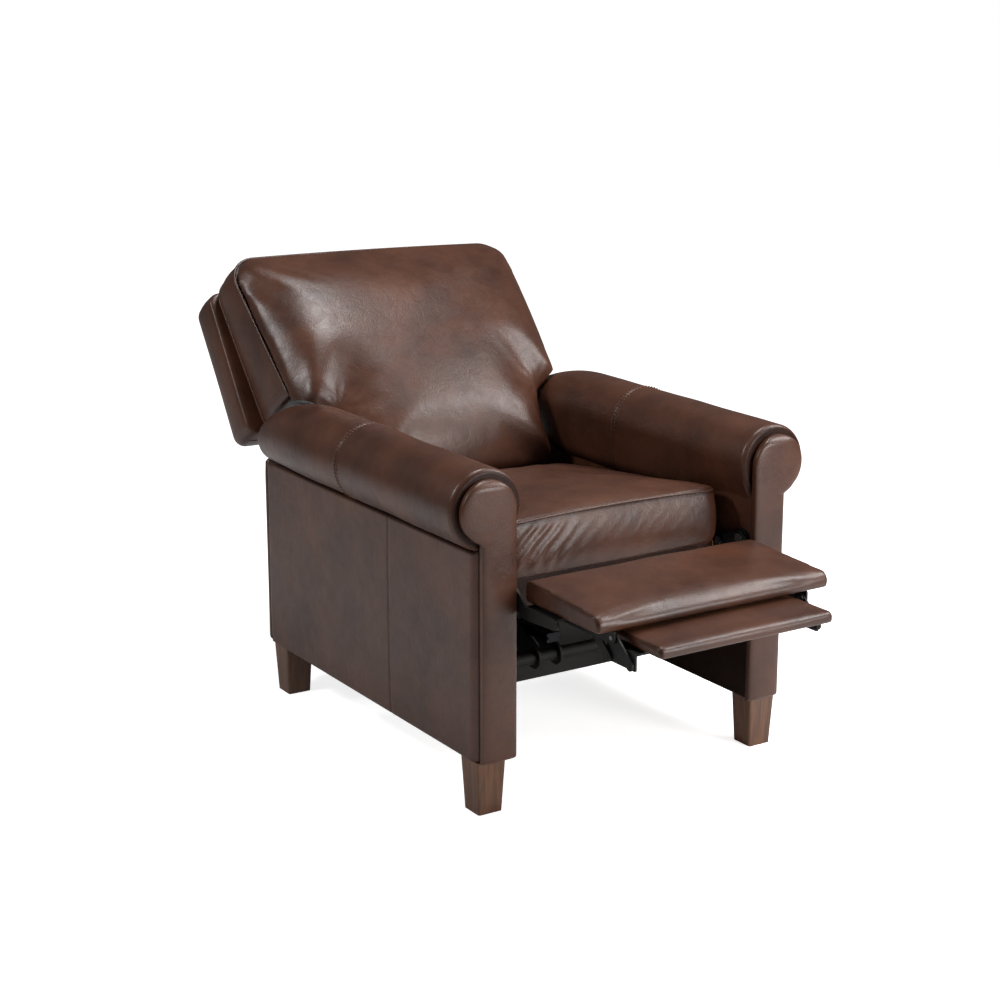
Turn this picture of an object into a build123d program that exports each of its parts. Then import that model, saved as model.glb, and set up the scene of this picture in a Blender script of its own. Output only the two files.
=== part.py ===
from build123d import *
import os
from math import atan2, cos, radians, sin, sqrt

os.makedirs("parts", exist_ok=True)

# Power recliner with rolled arms on tapered legs, back leant and footrest out.
# Millimetres, +Z up, the sitter faces -Y. A depth runs rearwards from the faces of the arm fronts.
# Sitter's right is -X and sitter's left is +X.
arm_face_y = -420.4

# Legs
leg_height = 103.0
leg_top_width = 60.0
leg_foot_width = 50.0
leg_edge_radius = 4.0
leg_x = 313.0
leg_front_depth = 45.0
leg_rear_inset = 34.0
leg_bolt_radius = 5.0
leg_bolt_in_leg = 40.0
leg_bolt_in_frame = 55.0

# Rolled arms
arm_inner_x = 272.0
arm_outer_x = 348.0
arm_rear_depth = 830.0
roll_radius = 75.0
roll_x = 322.0
roll_height = 570.0
roll_level_depth = 600.0
roll_end_depth = 845.0
roll_drop_radius = 480.0
roll_sections = 5
roll_end_round = 34.0
panel_shoulder = 30.0
inner_pad_gap = 4.0
inner_pad_lap = 3.0
inner_pad_rear_depth = 560.0
inner_pad_bottom = 460.0
inner_pad_clearance = 18.0
arm_edge_round = 9.0
arm_frame_thickness = 18.0
arm_frame_front_inset = 14.0
arm_frame_rear_inset = 18.0
arm_frame_top = 500.0
arm_window_width = 130.0
arm_window_height = 190.0
arm_window_pitch = 195.0
arm_window_round = 30.0

# Padded keyhole panels on the arm fronts
front_panel_thickness = 18.0
front_panel_inset = 20.5
front_post_inset = 5.0
front_panel_round = 8.0

# Lower outside back and the rails between the arms
rear_panel_thickness = 18.0
rear_panel_top = 438.0
rear_panel_inset = 5.0
rear_panel_round = 7.0
cross_rail_thickness = 25.0
cross_rail_lift = 2.0
cross_rail_top = 240.0
mid_rail_depth = 335.0
rear_rail_inset = 50.0

# Steel side plates and the lanes of the moving links beside them
plate_thickness = 4.0
lane_gap = 2.0
running_gap = 0.1
weld_gap = 0.02
swing_pivot_depth = 40.0
swing_pivot_height = 425.0
drive_axis_depth = 200.0
drive_axis_height = 205.0
back_pivot_depth = 630.0
back_pivot_height = 420.0
pivot_boss = 18.0
swing_boss = 15.0
plate_bolt_radius = 4.0
plate_bolt_head_radius = 7.0
plate_bolt_head = 5.0
plate_bolt_reach = 30.0
plate_bolt_low_drop = 120.0
plate_bolt_high_drop = 27.0
plate_bolt_front_depth = 330.0
plate_bolt_rear_depth = 560.0
plate_window_count = 2
plate_window_radius = 26.0

# Footrest drive
drive_tube_radius = 12.5
back_tube_radius = 14.0
tube_wall = 2.0
tube_end_gap = 1.0
bush_wall = 2.5
bush_flange = 4.0
bush_flange_thickness = 1.6
crank_radius = 60.0
crank_angle = -17.0
crank_boss = 12.0
link_boss = 11.0
link_pin_radius = 5.0
swing_pin_radius = 6.0
pin_head_rim = 4.0
pin_head = 2.0
pin_head_gap = 0.6

# Footrest main board, level at rest
swing_angle = 90.0
main_top = 443.0
main_thickness = 48.0
main_depth = 225.0
main_half_width = 255.0
main_crown = 7.0
main_nose = 16.0
main_ply = 15.0
ply_inset = 10.0
bracket_flange_reach = 51.0
bracket_leg_drop = 24.0
ear_gap = 1.0

# Flipper board on two pairs of parallel links
flipper_half_width = 190.0
flipper_depth = 150.0
flipper_thickness = 24.0
flipper_gap = 6.0
flipper_nose = 9.0
flipper_crown = 3.0
flipper_ply = 9.0
flipper_link_length = 60.0
flipper_link_angle = 50.0
flipper_pivot_depth = 142.5
flipper_pivot_pitch = 65.0
flipper_pivot_drop = 14.0
flipper_pin_radius = 4.0
flipper_pin_head = 1.2
flipper_boss = 9.0

# Seat
seat_front_depth = 70.0
seat_base_height = 412.0
seat_slope = 6.6
seat_length = 498.0
seat_half_width = 246.0
seat_side_height = 96.0
seat_crown_height = 121.0
seat_draw = 6.0
seat_nose = 24.0
seat_rail_thickness = 22.0
seat_front_rail_inset = 34.0
seat_rail_height = 60.0
seat_rail_half_span = 250.0
spring_wire = 4.0
spring_count = 5
spring_waves = 9
spring_wave_width = 50.0
spring_bend = 9.0
seat_bracket_start = 225.0
seat_bracket_length = 220.0
seat_bracket_height = 44.0

# Back, leant at rest; places run up the back and rearwards from its pivot
back_lean = 34.0
back_lower_half = 242.0
back_upper_half = 325.0
back_bottom = 30.0
back_ear_bottom = 285.0
back_top = 595.0
back_front_depth = 27.0
back_deck_thickness = 45.0
back_boxing_depth = 73.0
back_corner_round = 55.0
back_step_round = 14.0
back_edge_round = 10.0
cushion_ear_bottom = 266.0
cushion_base_depth = 92.0
cushion_top_depth = 44.0
cushion_crown_inset = 50.0
cushion_draw = 12.0
cushion_edge_share = 0.25
cushion_shoulder_share = 0.6
stile_inner_x = 180.0
stile_width = 32.0
stile_thickness = 26.0
stile_bottom = 45.0
stile_top = 570.0
back_rail_width = 36.0
back_mid_rail = 300.0
back_cover_thickness = 3.0
back_bracket_boss = 24.0
back_bracket_end = 13.0
back_bracket_low = 75.0
back_bracket_high = 190.0
outer_back_gap = 22.0
outer_back_thickness = 96.0
outer_back_half = 345.0
outer_back_bottom = 255.0
outer_back_top = 580.0
outer_back_corner = 45.0
outer_back_round = 22.0
outer_back_crown = 10.0
spacer_width = 60.0
spacer_height = 40.0
spacer_x = 215.0

# Actuators under the seat
actuator_x = 75.0
drive_pin_height = 265.0
drive_pin_radius = 5.0
cam_gap = 22.0
cam_thickness = 5.0
cam_boss = 22.0
back_cam_boss = 24.0
slot_steps = 6
cam_rim = 9.0
cam_slot_gap = 0.3
footrest_stroke = 96.0
back_slot_length = 22.0
back_slot_gap = 0.9
rail_width = 30.0
rail_height = 18.0
rail_groove = 4.0
rail_groove_lift = 7.0
carriage_wall = 4.2
carriage_lip = 1.0
carriage_length = 40.0
carriage_top = 274.0
slide_gap = 0.3
footrest_rail_front = 172.0
footrest_rail_rear = 440.0
back_rail_front = 402.0
back_rail_overhang = 20.0
gearbox_length = 62.0
gearbox_width = 52.0
gearbox_height = 50.0
gearbox_round = 8.0
motor_radius = 21.0
motor_length = 85.0
motor_nose_radius = 11.0
motor_nose = 6.0
clamp_thickness = 3.0
clamp_length = 20.0
clamp_foot = 14.0

# Control box and switch plate
control_box_x = -150.0
control_box_length = 120.0
control_box_depth = 55.0
control_box_height = 38.0
control_box_base = 150.0
control_box_round = 6.0
inlet_radius = 7.0
inlet_bore_radius = 4.0
inlet_length = 10.0
switch_depth = 250.0
switch_height = 400.0
switch_width = 112.0
switch_tall = 42.0
switch_flange = 4.0
switch_plate = 3.0
switch_body = 18.0
switch_floor = 2.0
button_radius = 9.0
button_pitch = 25.0
button_gap = 0.25
button_proud = 4.0
button_travel = 2.5
button_stop_gap = 0.5
button_dome = 1.5


# Planes and shared outlines
def side_plane(x):
    """Plane across the chair at x, read as depth and height."""
    return Plane(origin=(x, arm_face_y, 0), x_dir=(0, 1, 0), z_dir=(1, 0, 0))


def polar(centre, radius, angle):
    """Point at a radius and an angle in degrees from a centre, in the side plane."""
    return (centre[0] + radius * cos(radians(angle)), centre[1] + radius * sin(radians(angle)))


def lane(sign, inner, thickness):
    """Side plane at the low-x face of a plate that starts at inner on one side of the chair."""
    return side_plane(inner if sign > 0 else -inner - thickness)


def hull_outline(plane, hubs, holes):
    """Plate outline that wraps round hubs, each (centre, radius), with round holes cut in it."""
    with BuildSketch(plane) as outline:
        for centre, radius in hubs:
            with Locations(centre):
                Circle(radius)
        make_hull()
        for centre, radius in holes:
            with Locations(centre):
                Circle(radius, mode=Mode.SUBTRACT)
    return outline.sketch


def write(part, name):
    """Label a finished piece and write its file."""
    part.label = name
    export_step(part, f"parts/{name}.step")


sides = (("right", -1), ("left", 1))
leg_rear_depth = arm_rear_depth - leg_rear_inset
rear_rail_depth = arm_rear_depth - rear_rail_inset
back_rail_rear = rear_rail_depth + back_rail_overhang
arm_frame_front_depth = front_panel_thickness + arm_frame_front_inset
arm_frame_rear_depth = arm_rear_depth - arm_frame_rear_inset
swing_pivot = (swing_pivot_depth, swing_pivot_height)
drive_axis = (drive_axis_depth, drive_axis_height)
back_pivot = (back_pivot_depth, back_pivot_height)
plate_bolt_low = seat_base_height - plate_bolt_low_drop
plate_bolt_high = seat_base_height - plate_bolt_high_drop
plate_front_bolt = ((swing_pivot[0] + drive_axis[0]) / 2, (swing_pivot[1] + drive_axis[1]) / 2)
plate_bolt_places = [plate_front_bolt] + [
    (depth, height) for depth in (plate_bolt_front_depth, plate_bolt_rear_depth)
    for height in (plate_bolt_low, plate_bolt_high)]
plate_window_pitch = (plate_bolt_rear_depth - plate_bolt_front_depth) / (plate_window_count + 1)
plate_window_places = [
    (plate_bolt_front_depth + (i + 1) * plate_window_pitch, (plate_bolt_low + plate_bolt_high) / 2)
    for i in range(plate_window_count)]
plate_x = arm_inner_x - plate_thickness
swing_x = plate_x - lane_gap - plate_thickness
link_x = swing_x - lane_gap - plate_thickness
arm_bottom = leg_height

# Tapered legs
for end, depth in (("front", leg_front_depth), ("rear", leg_rear_depth)):
    for side, sign in sides:
        with BuildPart() as leg:
            with BuildSketch(Plane((sign * leg_x, arm_face_y + depth, 0))):
                RectangleRounded(leg_foot_width, leg_foot_width, leg_edge_radius)
            with BuildSketch(Plane((sign * leg_x, arm_face_y + depth, leg_height))):
                RectangleRounded(leg_top_width, leg_top_width, leg_edge_radius)
            loft()
            with Locations((sign * leg_x, arm_face_y + depth, leg_height)):
                Hole(leg_bolt_radius, leg_bolt_in_leg)
        write(leg.part, f"{end}_{side}_leg")

leg_places = [(sign * leg_x, arm_face_y + depth)
              for depth in (leg_front_depth, leg_rear_depth) for _, sign in sides]
with BuildPart() as leg_bolts:
    with BuildSketch(Plane.XY.offset(leg_height - leg_bolt_in_leg)):
        with Locations(leg_places):
            Circle(leg_bolt_radius)
    extrude(amount=leg_bolt_in_leg + leg_bolt_in_frame)
write(leg_bolts.part, "leg_bolts")

# Plywood arm frames, each in a slot of its arm that is open below
def arm_frame_outline(sign):
    """Outline of an arm frame on its low-x face: level on top, falling to the rear with the roll."""
    with BuildSketch(side_plane(sign * leg_x - arm_frame_thickness / 2)) as outline:
        with BuildLine():
            Polyline(
                (arm_frame_front_depth, arm_bottom),
                (arm_frame_rear_depth, arm_bottom),
                (arm_frame_rear_depth, arm_frame_top - roll_radius),
                (roll_level_depth, arm_frame_top),
                (arm_frame_front_depth, arm_frame_top),
                close=True,
            )
        make_face()
    return outline.sketch


frame_middle = (arm_frame_front_depth + arm_frame_rear_depth) / 2
with BuildPart() as arm_frames:
    for _, sign in sides:
        extrude(arm_frame_outline(sign), amount=arm_frame_thickness)
        with BuildSketch(side_plane(sign * leg_x - arm_frame_thickness / 2)):
            with Locations((frame_middle, (arm_bottom + arm_frame_top) / 2)):
                with GridLocations(arm_window_pitch, 1, 3, 1):
                    RectangleRounded(arm_window_width, arm_window_height, arm_window_round)
        extrude(amount=arm_frame_thickness, mode=Mode.SUBTRACT)
    for place in leg_places:
        with Locations(Plane((*place, arm_bottom), z_dir=(0, 0, -1))):
            Hole(leg_bolt_radius, leg_bolt_in_frame)
write(arm_frames.part, "arm_frames")

# Rolled arms: a flat panel under a roll that is drawn down on top and rounds off at the rear
def roll_section(sign, depth):
    """Round section of a roll, level below, its top falling along an arc past the bend."""
    past = max(depth - roll_level_depth, 0.0)
    dip = roll_drop_radius - sqrt(roll_drop_radius**2 - past**2)
    middle = (sign * roll_x, arm_face_y + depth, roll_height - dip / 2)
    with BuildSketch(Plane(middle, x_dir=(1, 0, 0), z_dir=(0, 1, 0))) as section:
        Circle(roll_radius - dip / 2)
    return section.sketch


button_names = ("footrest_raise_button", "footrest_lower_button", "back_lean_button", "back_rise_button")
first_button_depth = switch_depth - (len(button_names) - 1) / 2 * button_pitch
switch_places = [(first_button_depth + i * button_pitch, switch_height) for i in range(len(button_names))]
taper_step = (roll_end_depth - roll_level_depth) / (roll_sections - 1)
roll_bottom = roll_height - roll_radius
inner_pad_x = seat_half_width + inner_pad_gap
lever_clearance = crank_radius + crank_boss + inner_pad_clearance
for side, sign in sides:
    with BuildPart() as roll:
        extrude(roll_section(sign, front_panel_thickness), amount=roll_level_depth - front_panel_thickness)
        loft([roll_section(sign, roll_level_depth + i * taper_step) for i in range(roll_sections)])
        fillet(roll.faces().sort_by(Axis.Y)[-1].edges(), roll_end_round)
        fillet(roll.faces().sort_by(Axis.Y)[0].edges(), arm_edge_round)
    with BuildPart() as arm:
        with BuildSketch(lane(sign, arm_inner_x, arm_outer_x - arm_inner_x)):
            with BuildLine():
                Polyline(
                    (roll_level_depth, roll_height),
                    (front_panel_thickness, roll_height),
                    (front_panel_thickness, arm_bottom),
                    (arm_rear_depth, arm_bottom),
                    (arm_rear_depth, roll_bottom),
                    (arm_rear_depth - panel_shoulder, (roll_bottom + roll_height) / 2),
                    close=True,
                )
            make_face()
        extrude(amount=arm_outer_x - arm_inner_x)
        fillet(arm.edges().filter_by(Axis.Z).group_by(Axis.Y)[0], arm_edge_round)
        add(roll.part)
        with BuildSketch(lane(sign, inner_pad_x, arm_inner_x + inner_pad_lap - inner_pad_x)):
            with BuildLine():
                Polyline(
                    (front_panel_thickness, roll_height),
                    (inner_pad_rear_depth, roll_height),
                    (inner_pad_rear_depth, inner_pad_bottom),
                    (swing_pivot_depth + lever_clearance, inner_pad_bottom),
                    (swing_pivot_depth + lever_clearance, swing_pivot_height + lever_clearance),
                    (front_panel_thickness, swing_pivot_height + lever_clearance),
                    close=True,
                )
            make_face()
        extrude(amount=arm_inner_x + inner_pad_lap - inner_pad_x)
        extrude(arm_frame_outline(sign), amount=arm_frame_thickness, mode=Mode.SUBTRACT)
        with BuildSketch(lane(sign, arm_inner_x, plate_bolt_reach)):
            with Locations(plate_bolt_places):
                Circle(plate_bolt_radius)
        extrude(amount=plate_bolt_reach, mode=Mode.SUBTRACT)
        if side == "left":
            with BuildSketch(side_plane(arm_outer_x - switch_body)):
                with Locations((switch_depth, switch_height)):
                    SlotOverall(switch_width, switch_tall)
            extrude(amount=switch_body, mode=Mode.SUBTRACT)
    write(arm.part, f"{side}_arm")

    with BuildPart() as front_panel:
        with BuildSketch(Plane((0, arm_face_y, 0), x_dir=(1, 0, 0), z_dir=(0, -1, 0))):
            with Locations((sign * roll_x, roll_height)):
                Circle(roll_radius - front_panel_inset)
            post_inner = roll_x - roll_radius + front_panel_inset
            post_outer = arm_outer_x - front_post_inset
            with Locations((sign * (post_inner + post_outer) / 2, (arm_bottom + roll_height) / 2)):
                Rectangle(post_outer - post_inner, roll_height - arm_bottom)
        extrude(amount=-front_panel_thickness)
        fillet(front_panel.faces().sort_by(Axis.Y)[0].edges(), front_panel_round)
    write(front_panel.part, f"{side}_arm_front")

# Lower outside back and cross rails
with BuildPart() as rear_panel:
    rear_panel_half = arm_outer_x - rear_panel_inset
    with BuildSketch(Plane((0, arm_face_y + arm_rear_depth, 0), x_dir=(1, 0, 0), z_dir=(0, -1, 0))):
        with Locations((0, (arm_bottom + rear_panel_top) / 2)):
            Rectangle(2 * rear_panel_half, rear_panel_top - arm_bottom)
    extrude(amount=-rear_panel_thickness)
    fillet(rear_panel.faces().sort_by(Axis.Y)[-1].edges(), rear_panel_round)
write(rear_panel.part, "lower_back_panel")

for name, depth in (("mid_cross_rail", mid_rail_depth), ("rear_cross_rail", rear_rail_depth)):
    with BuildPart() as cross_rail:
        with BuildSketch(Plane((0, arm_face_y + depth, 0), x_dir=(1, 0, 0), z_dir=(0, -1, 0))):
            rail_bottom = arm_bottom + cross_rail_lift
            with Locations((0, (rail_bottom + cross_rail_top) / 2)):
                Rectangle(2 * arm_inner_x, cross_rail_top - rail_bottom)
        extrude(amount=-cross_rail_thickness)
    write(cross_rail.part, name)

# Side plates of the mechanism, bolted to the arms
bush_bore = {drive_axis: drive_tube_radius, back_pivot: back_tube_radius}
for side, sign in sides:
    with BuildPart() as side_plate:
        front_web = hull_outline(
            lane(sign, plate_x, plate_thickness),
            [(swing_pivot, pivot_boss), (drive_axis, cam_boss + bush_flange),
             (plate_bolt_places[1], pivot_boss)], [])
        rear_web = hull_outline(
            lane(sign, plate_x, plate_thickness),
            [(plate_bolt_places[1], pivot_boss), (plate_bolt_places[2], pivot_boss),
             (plate_bolt_places[3], pivot_boss), (back_pivot, cam_boss + bush_flange)], [])
        extrude(front_web, amount=plate_thickness)
        extrude(rear_web, amount=plate_thickness)
        with BuildSketch(lane(sign, plate_x, plate_thickness)):
            with Locations(plate_bolt_places):
                Circle(plate_bolt_radius)
            with Locations(plate_window_places):
                Circle(plate_window_radius)
            with Locations(swing_pivot):
                Circle(swing_pin_radius)
            for centre, radius in bush_bore.items():
                with Locations(centre):
                    Circle(radius + running_gap + bush_wall)
        extrude(amount=plate_thickness, mode=Mode.SUBTRACT)
    write(side_plate.part, f"{side}_side_plate")

with BuildPart() as plate_bolts:
    for _, sign in sides:
        with BuildSketch(lane(sign, plate_x, plate_thickness + plate_bolt_reach)):
            with Locations(plate_bolt_places):
                Circle(plate_bolt_radius)
        extrude(amount=plate_thickness + plate_bolt_reach)
        with BuildSketch(lane(sign, plate_x - plate_bolt_head, plate_bolt_head)):
            with Locations(plate_bolt_places):
                RegularPolygon(plate_bolt_head_radius, 6)
        extrude(amount=plate_bolt_head)
write(plate_bolts.part, "side_plate_bolts")

with BuildPart() as bushes:
    for _, sign in sides:
        for centre, radius in bush_bore.items():
            bore = radius + running_gap
            sleeve = hull_outline(lane(sign, plate_x, plate_thickness),
                                  [(centre, bore + bush_wall)], [(centre, bore)])
            extrude(sleeve, amount=plate_thickness)
            collar = hull_outline(lane(sign, plate_x - bush_flange_thickness, bush_flange_thickness),
                                  [(centre, bore + bush_flange + bush_wall)], [(centre, bore)])
            extrude(collar, amount=bush_flange_thickness)
write(bushes.part, "tube_bushes")


def headed_pins(centres, radius, head, head_inner, shank_end):
    """Pins on both sides of the chair: a shank out to shank_end and a head on its inner end."""
    with BuildPart() as pins:
        for _, sign in sides:
            for centre in centres:
                cap = hull_outline(lane(sign, head_inner, head), [(centre, radius + pin_head_rim)], [])
                extrude(cap, amount=head)
                shank_length = shank_end - head_inner - head
                shank = hull_outline(lane(sign, head_inner + head, shank_length), [(centre, radius)], [])
                extrude(shank, amount=shank_length)
    return pins.part


swing_head_x = swing_x - pin_head_gap - pin_head
write(headed_pins([swing_pivot], swing_pin_radius, pin_head, swing_head_x, arm_inner_x), "swing_pivot_pins")


# Seat rails, springs and cushion on a plane that falls to the rear
seat_fall = radians(seat_slope)
seat_plane = Plane(
    origin=(0, arm_face_y + seat_front_depth, seat_base_height),
    x_dir=(1, 0, 0),
    z_dir=(0, sin(seat_fall), cos(seat_fall)),
)
seat_rail_front = seat_front_rail_inset
seat_rail_rear = seat_length - seat_rail_thickness
with BuildPart() as end_rails:
    with BuildSketch(seat_plane):
        for start in (seat_rail_front, seat_rail_rear):
            with Locations((0, start + seat_rail_thickness / 2)):
                Rectangle(2 * seat_rail_half_span, seat_rail_thickness)
    extrude(amount=-seat_rail_height)
write(end_rails.part, "seat_end_rails")

side_rail_start = seat_rail_front + seat_rail_thickness
side_rail_length = seat_rail_rear - side_rail_start
side_rail_x = seat_rail_half_span - seat_rail_thickness / 2
with BuildPart() as side_rails:
    with BuildSketch(seat_plane):
        with Locations((0, side_rail_start + side_rail_length / 2)):
            with GridLocations(2 * side_rail_x, 1, 2, 1):
                Rectangle(seat_rail_thickness, side_rail_length)
    extrude(amount=-seat_rail_height)
write(side_rails.part, "seat_side_rails")

with BuildPart() as springs:
    spring_pitch = 2 * (side_rail_x - seat_rail_thickness) / spring_count
    wave = side_rail_length / spring_waves
    for i in range(spring_count):
        spring_x = (i - (spring_count - 1) / 2) * spring_pitch
        turns = [(spring_x + (0.5 if k % 2 else -0.5) * spring_wave_width, side_rail_start + (k + 0.5) * wave)
                 for k in range(1, spring_waves - 1)]
        lead_in = [(spring_x, side_rail_start), (spring_x, side_rail_start + wave)]
        lead_out = [(spring_x, seat_rail_rear - wave), (spring_x, seat_rail_rear)]
        with BuildSketch(seat_plane.offset(-spring_wire)):
            with BuildLine():
                FilletPolyline([*lead_in, *turns, *lead_out], radius=spring_bend)
            trace(line_width=spring_wire)
        extrude(amount=spring_wire)
write(springs.part, "seat_springs")

seat_bracket_middle = seat_bracket_start + seat_bracket_length / 2
with BuildPart() as seat_brackets:
    for _, sign in sides:
        shelf_width = plate_x - seat_rail_half_span + seat_rail_thickness
        with BuildSketch(seat_plane.offset(-seat_rail_height - plate_thickness)):
            with Locations((sign * (plate_x - shelf_width / 2), seat_bracket_middle)):
                Rectangle(shelf_width, seat_bracket_length)
        extrude(amount=plate_thickness)
        with BuildSketch(seat_plane.offset(-seat_rail_height - plate_thickness)):
            with Locations((sign * (plate_x - plate_thickness / 2), seat_bracket_middle)):
                Rectangle(plate_thickness, seat_bracket_length)
        extrude(amount=seat_bracket_height)
write(seat_brackets.part, "seat_brackets")


def seat_section(along, half_width, lift, side_height, crown_height):
    """Cushion section across the seat: flat base, bowed sides and an arched top."""
    origin = seat_plane.from_local_coords((0, along, 0))
    foot = half_width - seat_draw
    with BuildSketch(Plane(origin, x_dir=(1, 0, 0), z_dir=-seat_plane.y_dir)) as section:
        with BuildLine():
            Line((-foot, lift), (foot, lift))
            ThreePointArc((foot, lift), (half_width, (lift + side_height) / 2), (foot, side_height))
            ThreePointArc((foot, side_height), (0, crown_height), (-foot, side_height))
            ThreePointArc((-foot, side_height), (-half_width, (lift + side_height) / 2), (-foot, lift))
        make_face()
    return section.sketch


seat_nose_section = seat_section(0, seat_half_width - seat_draw, seat_nose / 2,
                                 seat_side_height - seat_nose / 2, seat_crown_height - seat_nose)
seat_front_section = seat_section(seat_nose, seat_half_width, 0, seat_side_height + seat_draw,
                                  seat_crown_height)
seat_middle_section = seat_section(seat_length / 2, seat_half_width - seat_draw, 0, seat_side_height,
                                   seat_crown_height)
seat_rear_section = seat_section(seat_length - seat_nose, seat_half_width, 0, seat_side_height,
                                 seat_crown_height - seat_nose / 2)
seat_tail_section = seat_section(seat_length, seat_half_width - seat_draw, seat_nose / 2,
                                 seat_side_height - seat_nose, seat_crown_height - 1.5 * seat_nose)
with BuildPart() as seat_cushion:
    loft([seat_nose_section, seat_front_section], ruled=True)
    loft([seat_front_section, seat_middle_section, seat_rear_section])
    loft([seat_rear_section, seat_tail_section], ruled=True)
write(seat_cushion.part, "seat_cushion")

# Footrest drive tube with its cranks, and the push links to the swing brackets
crank_pin = polar(drive_axis, crank_radius, crank_angle)
rocker_pin = polar(swing_pivot, crank_radius, crank_angle)


def cross_tube(centre, radius):
    """Steel tube across the chair on a pivot."""
    half_length = arm_inner_x - tube_end_gap
    with BuildPart() as tube:
        ring = hull_outline(side_plane(-half_length), [(centre, radius)], [(centre, radius - tube_wall)])
        extrude(ring, amount=2 * half_length)
    return tube.part


write(cross_tube(drive_axis, drive_tube_radius), "footrest_drive_tube")

with BuildPart() as cranks:
    for _, sign in sides:
        crank = hull_outline(
            lane(sign, swing_x, plate_thickness),
            [(drive_axis, cam_boss), (crank_pin, crank_boss)],
            [(drive_axis, drive_tube_radius + weld_gap), (crank_pin, link_pin_radius)])
        extrude(crank, amount=plate_thickness)
write(cranks.part, "drive_cranks")

link_head_x = link_x - pin_head_gap - pin_head
link_pin_end = swing_x + plate_thickness
write(headed_pins([crank_pin], link_pin_radius, pin_head, link_head_x, link_pin_end), "crank_pins")
rocker_pins = headed_pins([rocker_pin], link_pin_radius, pin_head, link_head_x, link_pin_end)

with BuildPart() as push_links:
    for _, sign in sides:
        bar = hull_outline(
            lane(sign, link_x, plate_thickness),
            [(crank_pin, link_boss), (rocker_pin, link_boss)],
            [(crank_pin, link_pin_radius + running_gap), (rocker_pin, link_pin_radius + running_gap)])
        extrude(bar, amount=plate_thickness)
write(push_links.part, "push_links")

# Cam plates on the drive tube: the slot is the path of the drive pin, seen from the turning plate
rise = drive_pin_height - drive_axis[1]


def cam_point(share):
    """Drive pin on the plate at a share of the stroke: the pin moves level while the plate turns."""
    turn = radians((1 - share) * swing_angle)
    along = footrest_stroke * share
    return (
        drive_axis[0] + along * cos(turn) + rise * sin(turn),
        drive_axis[1] - along * sin(turn) + rise * cos(turn),
    )


slot_points = [cam_point(i / slot_steps) for i in range(slot_steps + 1)]
slot_radius = drive_pin_radius + cam_slot_gap
with BuildPart() as cam_plates:
    for offset_x in (cam_gap, -cam_gap - cam_thickness):
        cam_plane = side_plane(-actuator_x + offset_x)
        blank = hull_outline(
            cam_plane,
            [(drive_axis, cam_boss)] + [(point, slot_radius + cam_rim) for point in slot_points],
            [(drive_axis, drive_tube_radius + weld_gap)])
        extrude(blank, amount=cam_thickness)
        with BuildSketch(cam_plane):
            with BuildLine():
                Spline(slot_points)
            trace(line_width=2 * slot_radius)
            with Locations((slot_points[0], slot_points[-1])):
                Circle(slot_radius)
        extrude(amount=cam_thickness, mode=Mode.SUBTRACT)
write(cam_plates.part, "footrest_cam_plates")

# Footrest swing brackets: an ear on the pivot, a flange under the board and a leg for the flipper links
main_bottom = main_top - main_thickness
bracket_leg_x = swing_x + plate_thickness - bracket_flange_reach - plate_thickness
flipper_pivots = [(-flipper_pivot_depth - i * flipper_pivot_pitch, main_bottom - flipper_pivot_drop)
                  for i in range(2)]
ear_knee = (-front_panel_thickness, main_bottom - crank_boss - ear_gap)
ear_end = (-main_depth / 2, main_bottom - flipper_boss - ear_gap)
with BuildPart() as swing_brackets:
    for _, sign in sides:
        ear_plane = lane(sign, swing_x, plate_thickness)
        for hubs in (
            [(swing_pivot, swing_boss), (rocker_pin, crank_boss)],
            [(swing_pivot, swing_boss), (ear_knee, crank_boss)],
            [(ear_knee, crank_boss), (ear_end, flipper_boss)],
        ):
            extrude(hull_outline(ear_plane, hubs, []), amount=plate_thickness)
        flange_width = swing_x + plate_thickness - bracket_leg_x
        with BuildSketch(Plane((0, arm_face_y, main_bottom - plate_thickness))):
            with Locations((sign * (bracket_leg_x + flange_width / 2), (ear_knee[0] + ear_end[0]) / 2)):
                Rectangle(flange_width, ear_knee[0] - ear_end[0])
        extrude(amount=plate_thickness)
        leg_front = flipper_pivots[1][0] - flipper_boss
        with BuildSketch(lane(sign, bracket_leg_x, plate_thickness)):
            with Locations(((ear_knee[0] + leg_front) / 2, main_bottom - bracket_leg_drop / 2)):
                RectangleRounded(ear_knee[0] - leg_front, bracket_leg_drop, plate_thickness)
        extrude(amount=plate_thickness)
        with BuildSketch(lane(sign, bracket_leg_x, plate_thickness)):
            with Locations(flipper_pivots):
                Circle(flipper_pin_radius)
        extrude(amount=plate_thickness, mode=Mode.SUBTRACT)
        with BuildSketch(ear_plane):
            with Locations(swing_pivot):
                Circle(swing_pin_radius + running_gap)
            with Locations(rocker_pin):
                Circle(link_pin_radius)
        extrude(amount=plate_thickness, mode=Mode.SUBTRACT)
write(swing_brackets.part, "swing_brackets")

# Footrest boards: plywood let into an upholstered pad with a rounded nose
def pad_section(x, front, rear, bottom, top, nose, crown):
    """Pad section along the chair: flat base, round nose and tail, gently arched top."""
    with BuildSketch(side_plane(x)) as section:
        with BuildLine():
            middle = (front + rear) / 2
            half = (bottom + top) / 2
            Line((front + nose, bottom), (rear - nose / 2, bottom))
            ThreePointArc((rear - nose / 2, bottom), (rear, half), (rear - nose / 2, top))
            ThreePointArc((rear - nose / 2, top), (middle, top + crown), (front + nose, top))
            ThreePointArc((front + nose, top), (front, half), (front + nose, bottom))
        make_face()
    return section.sketch


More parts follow.
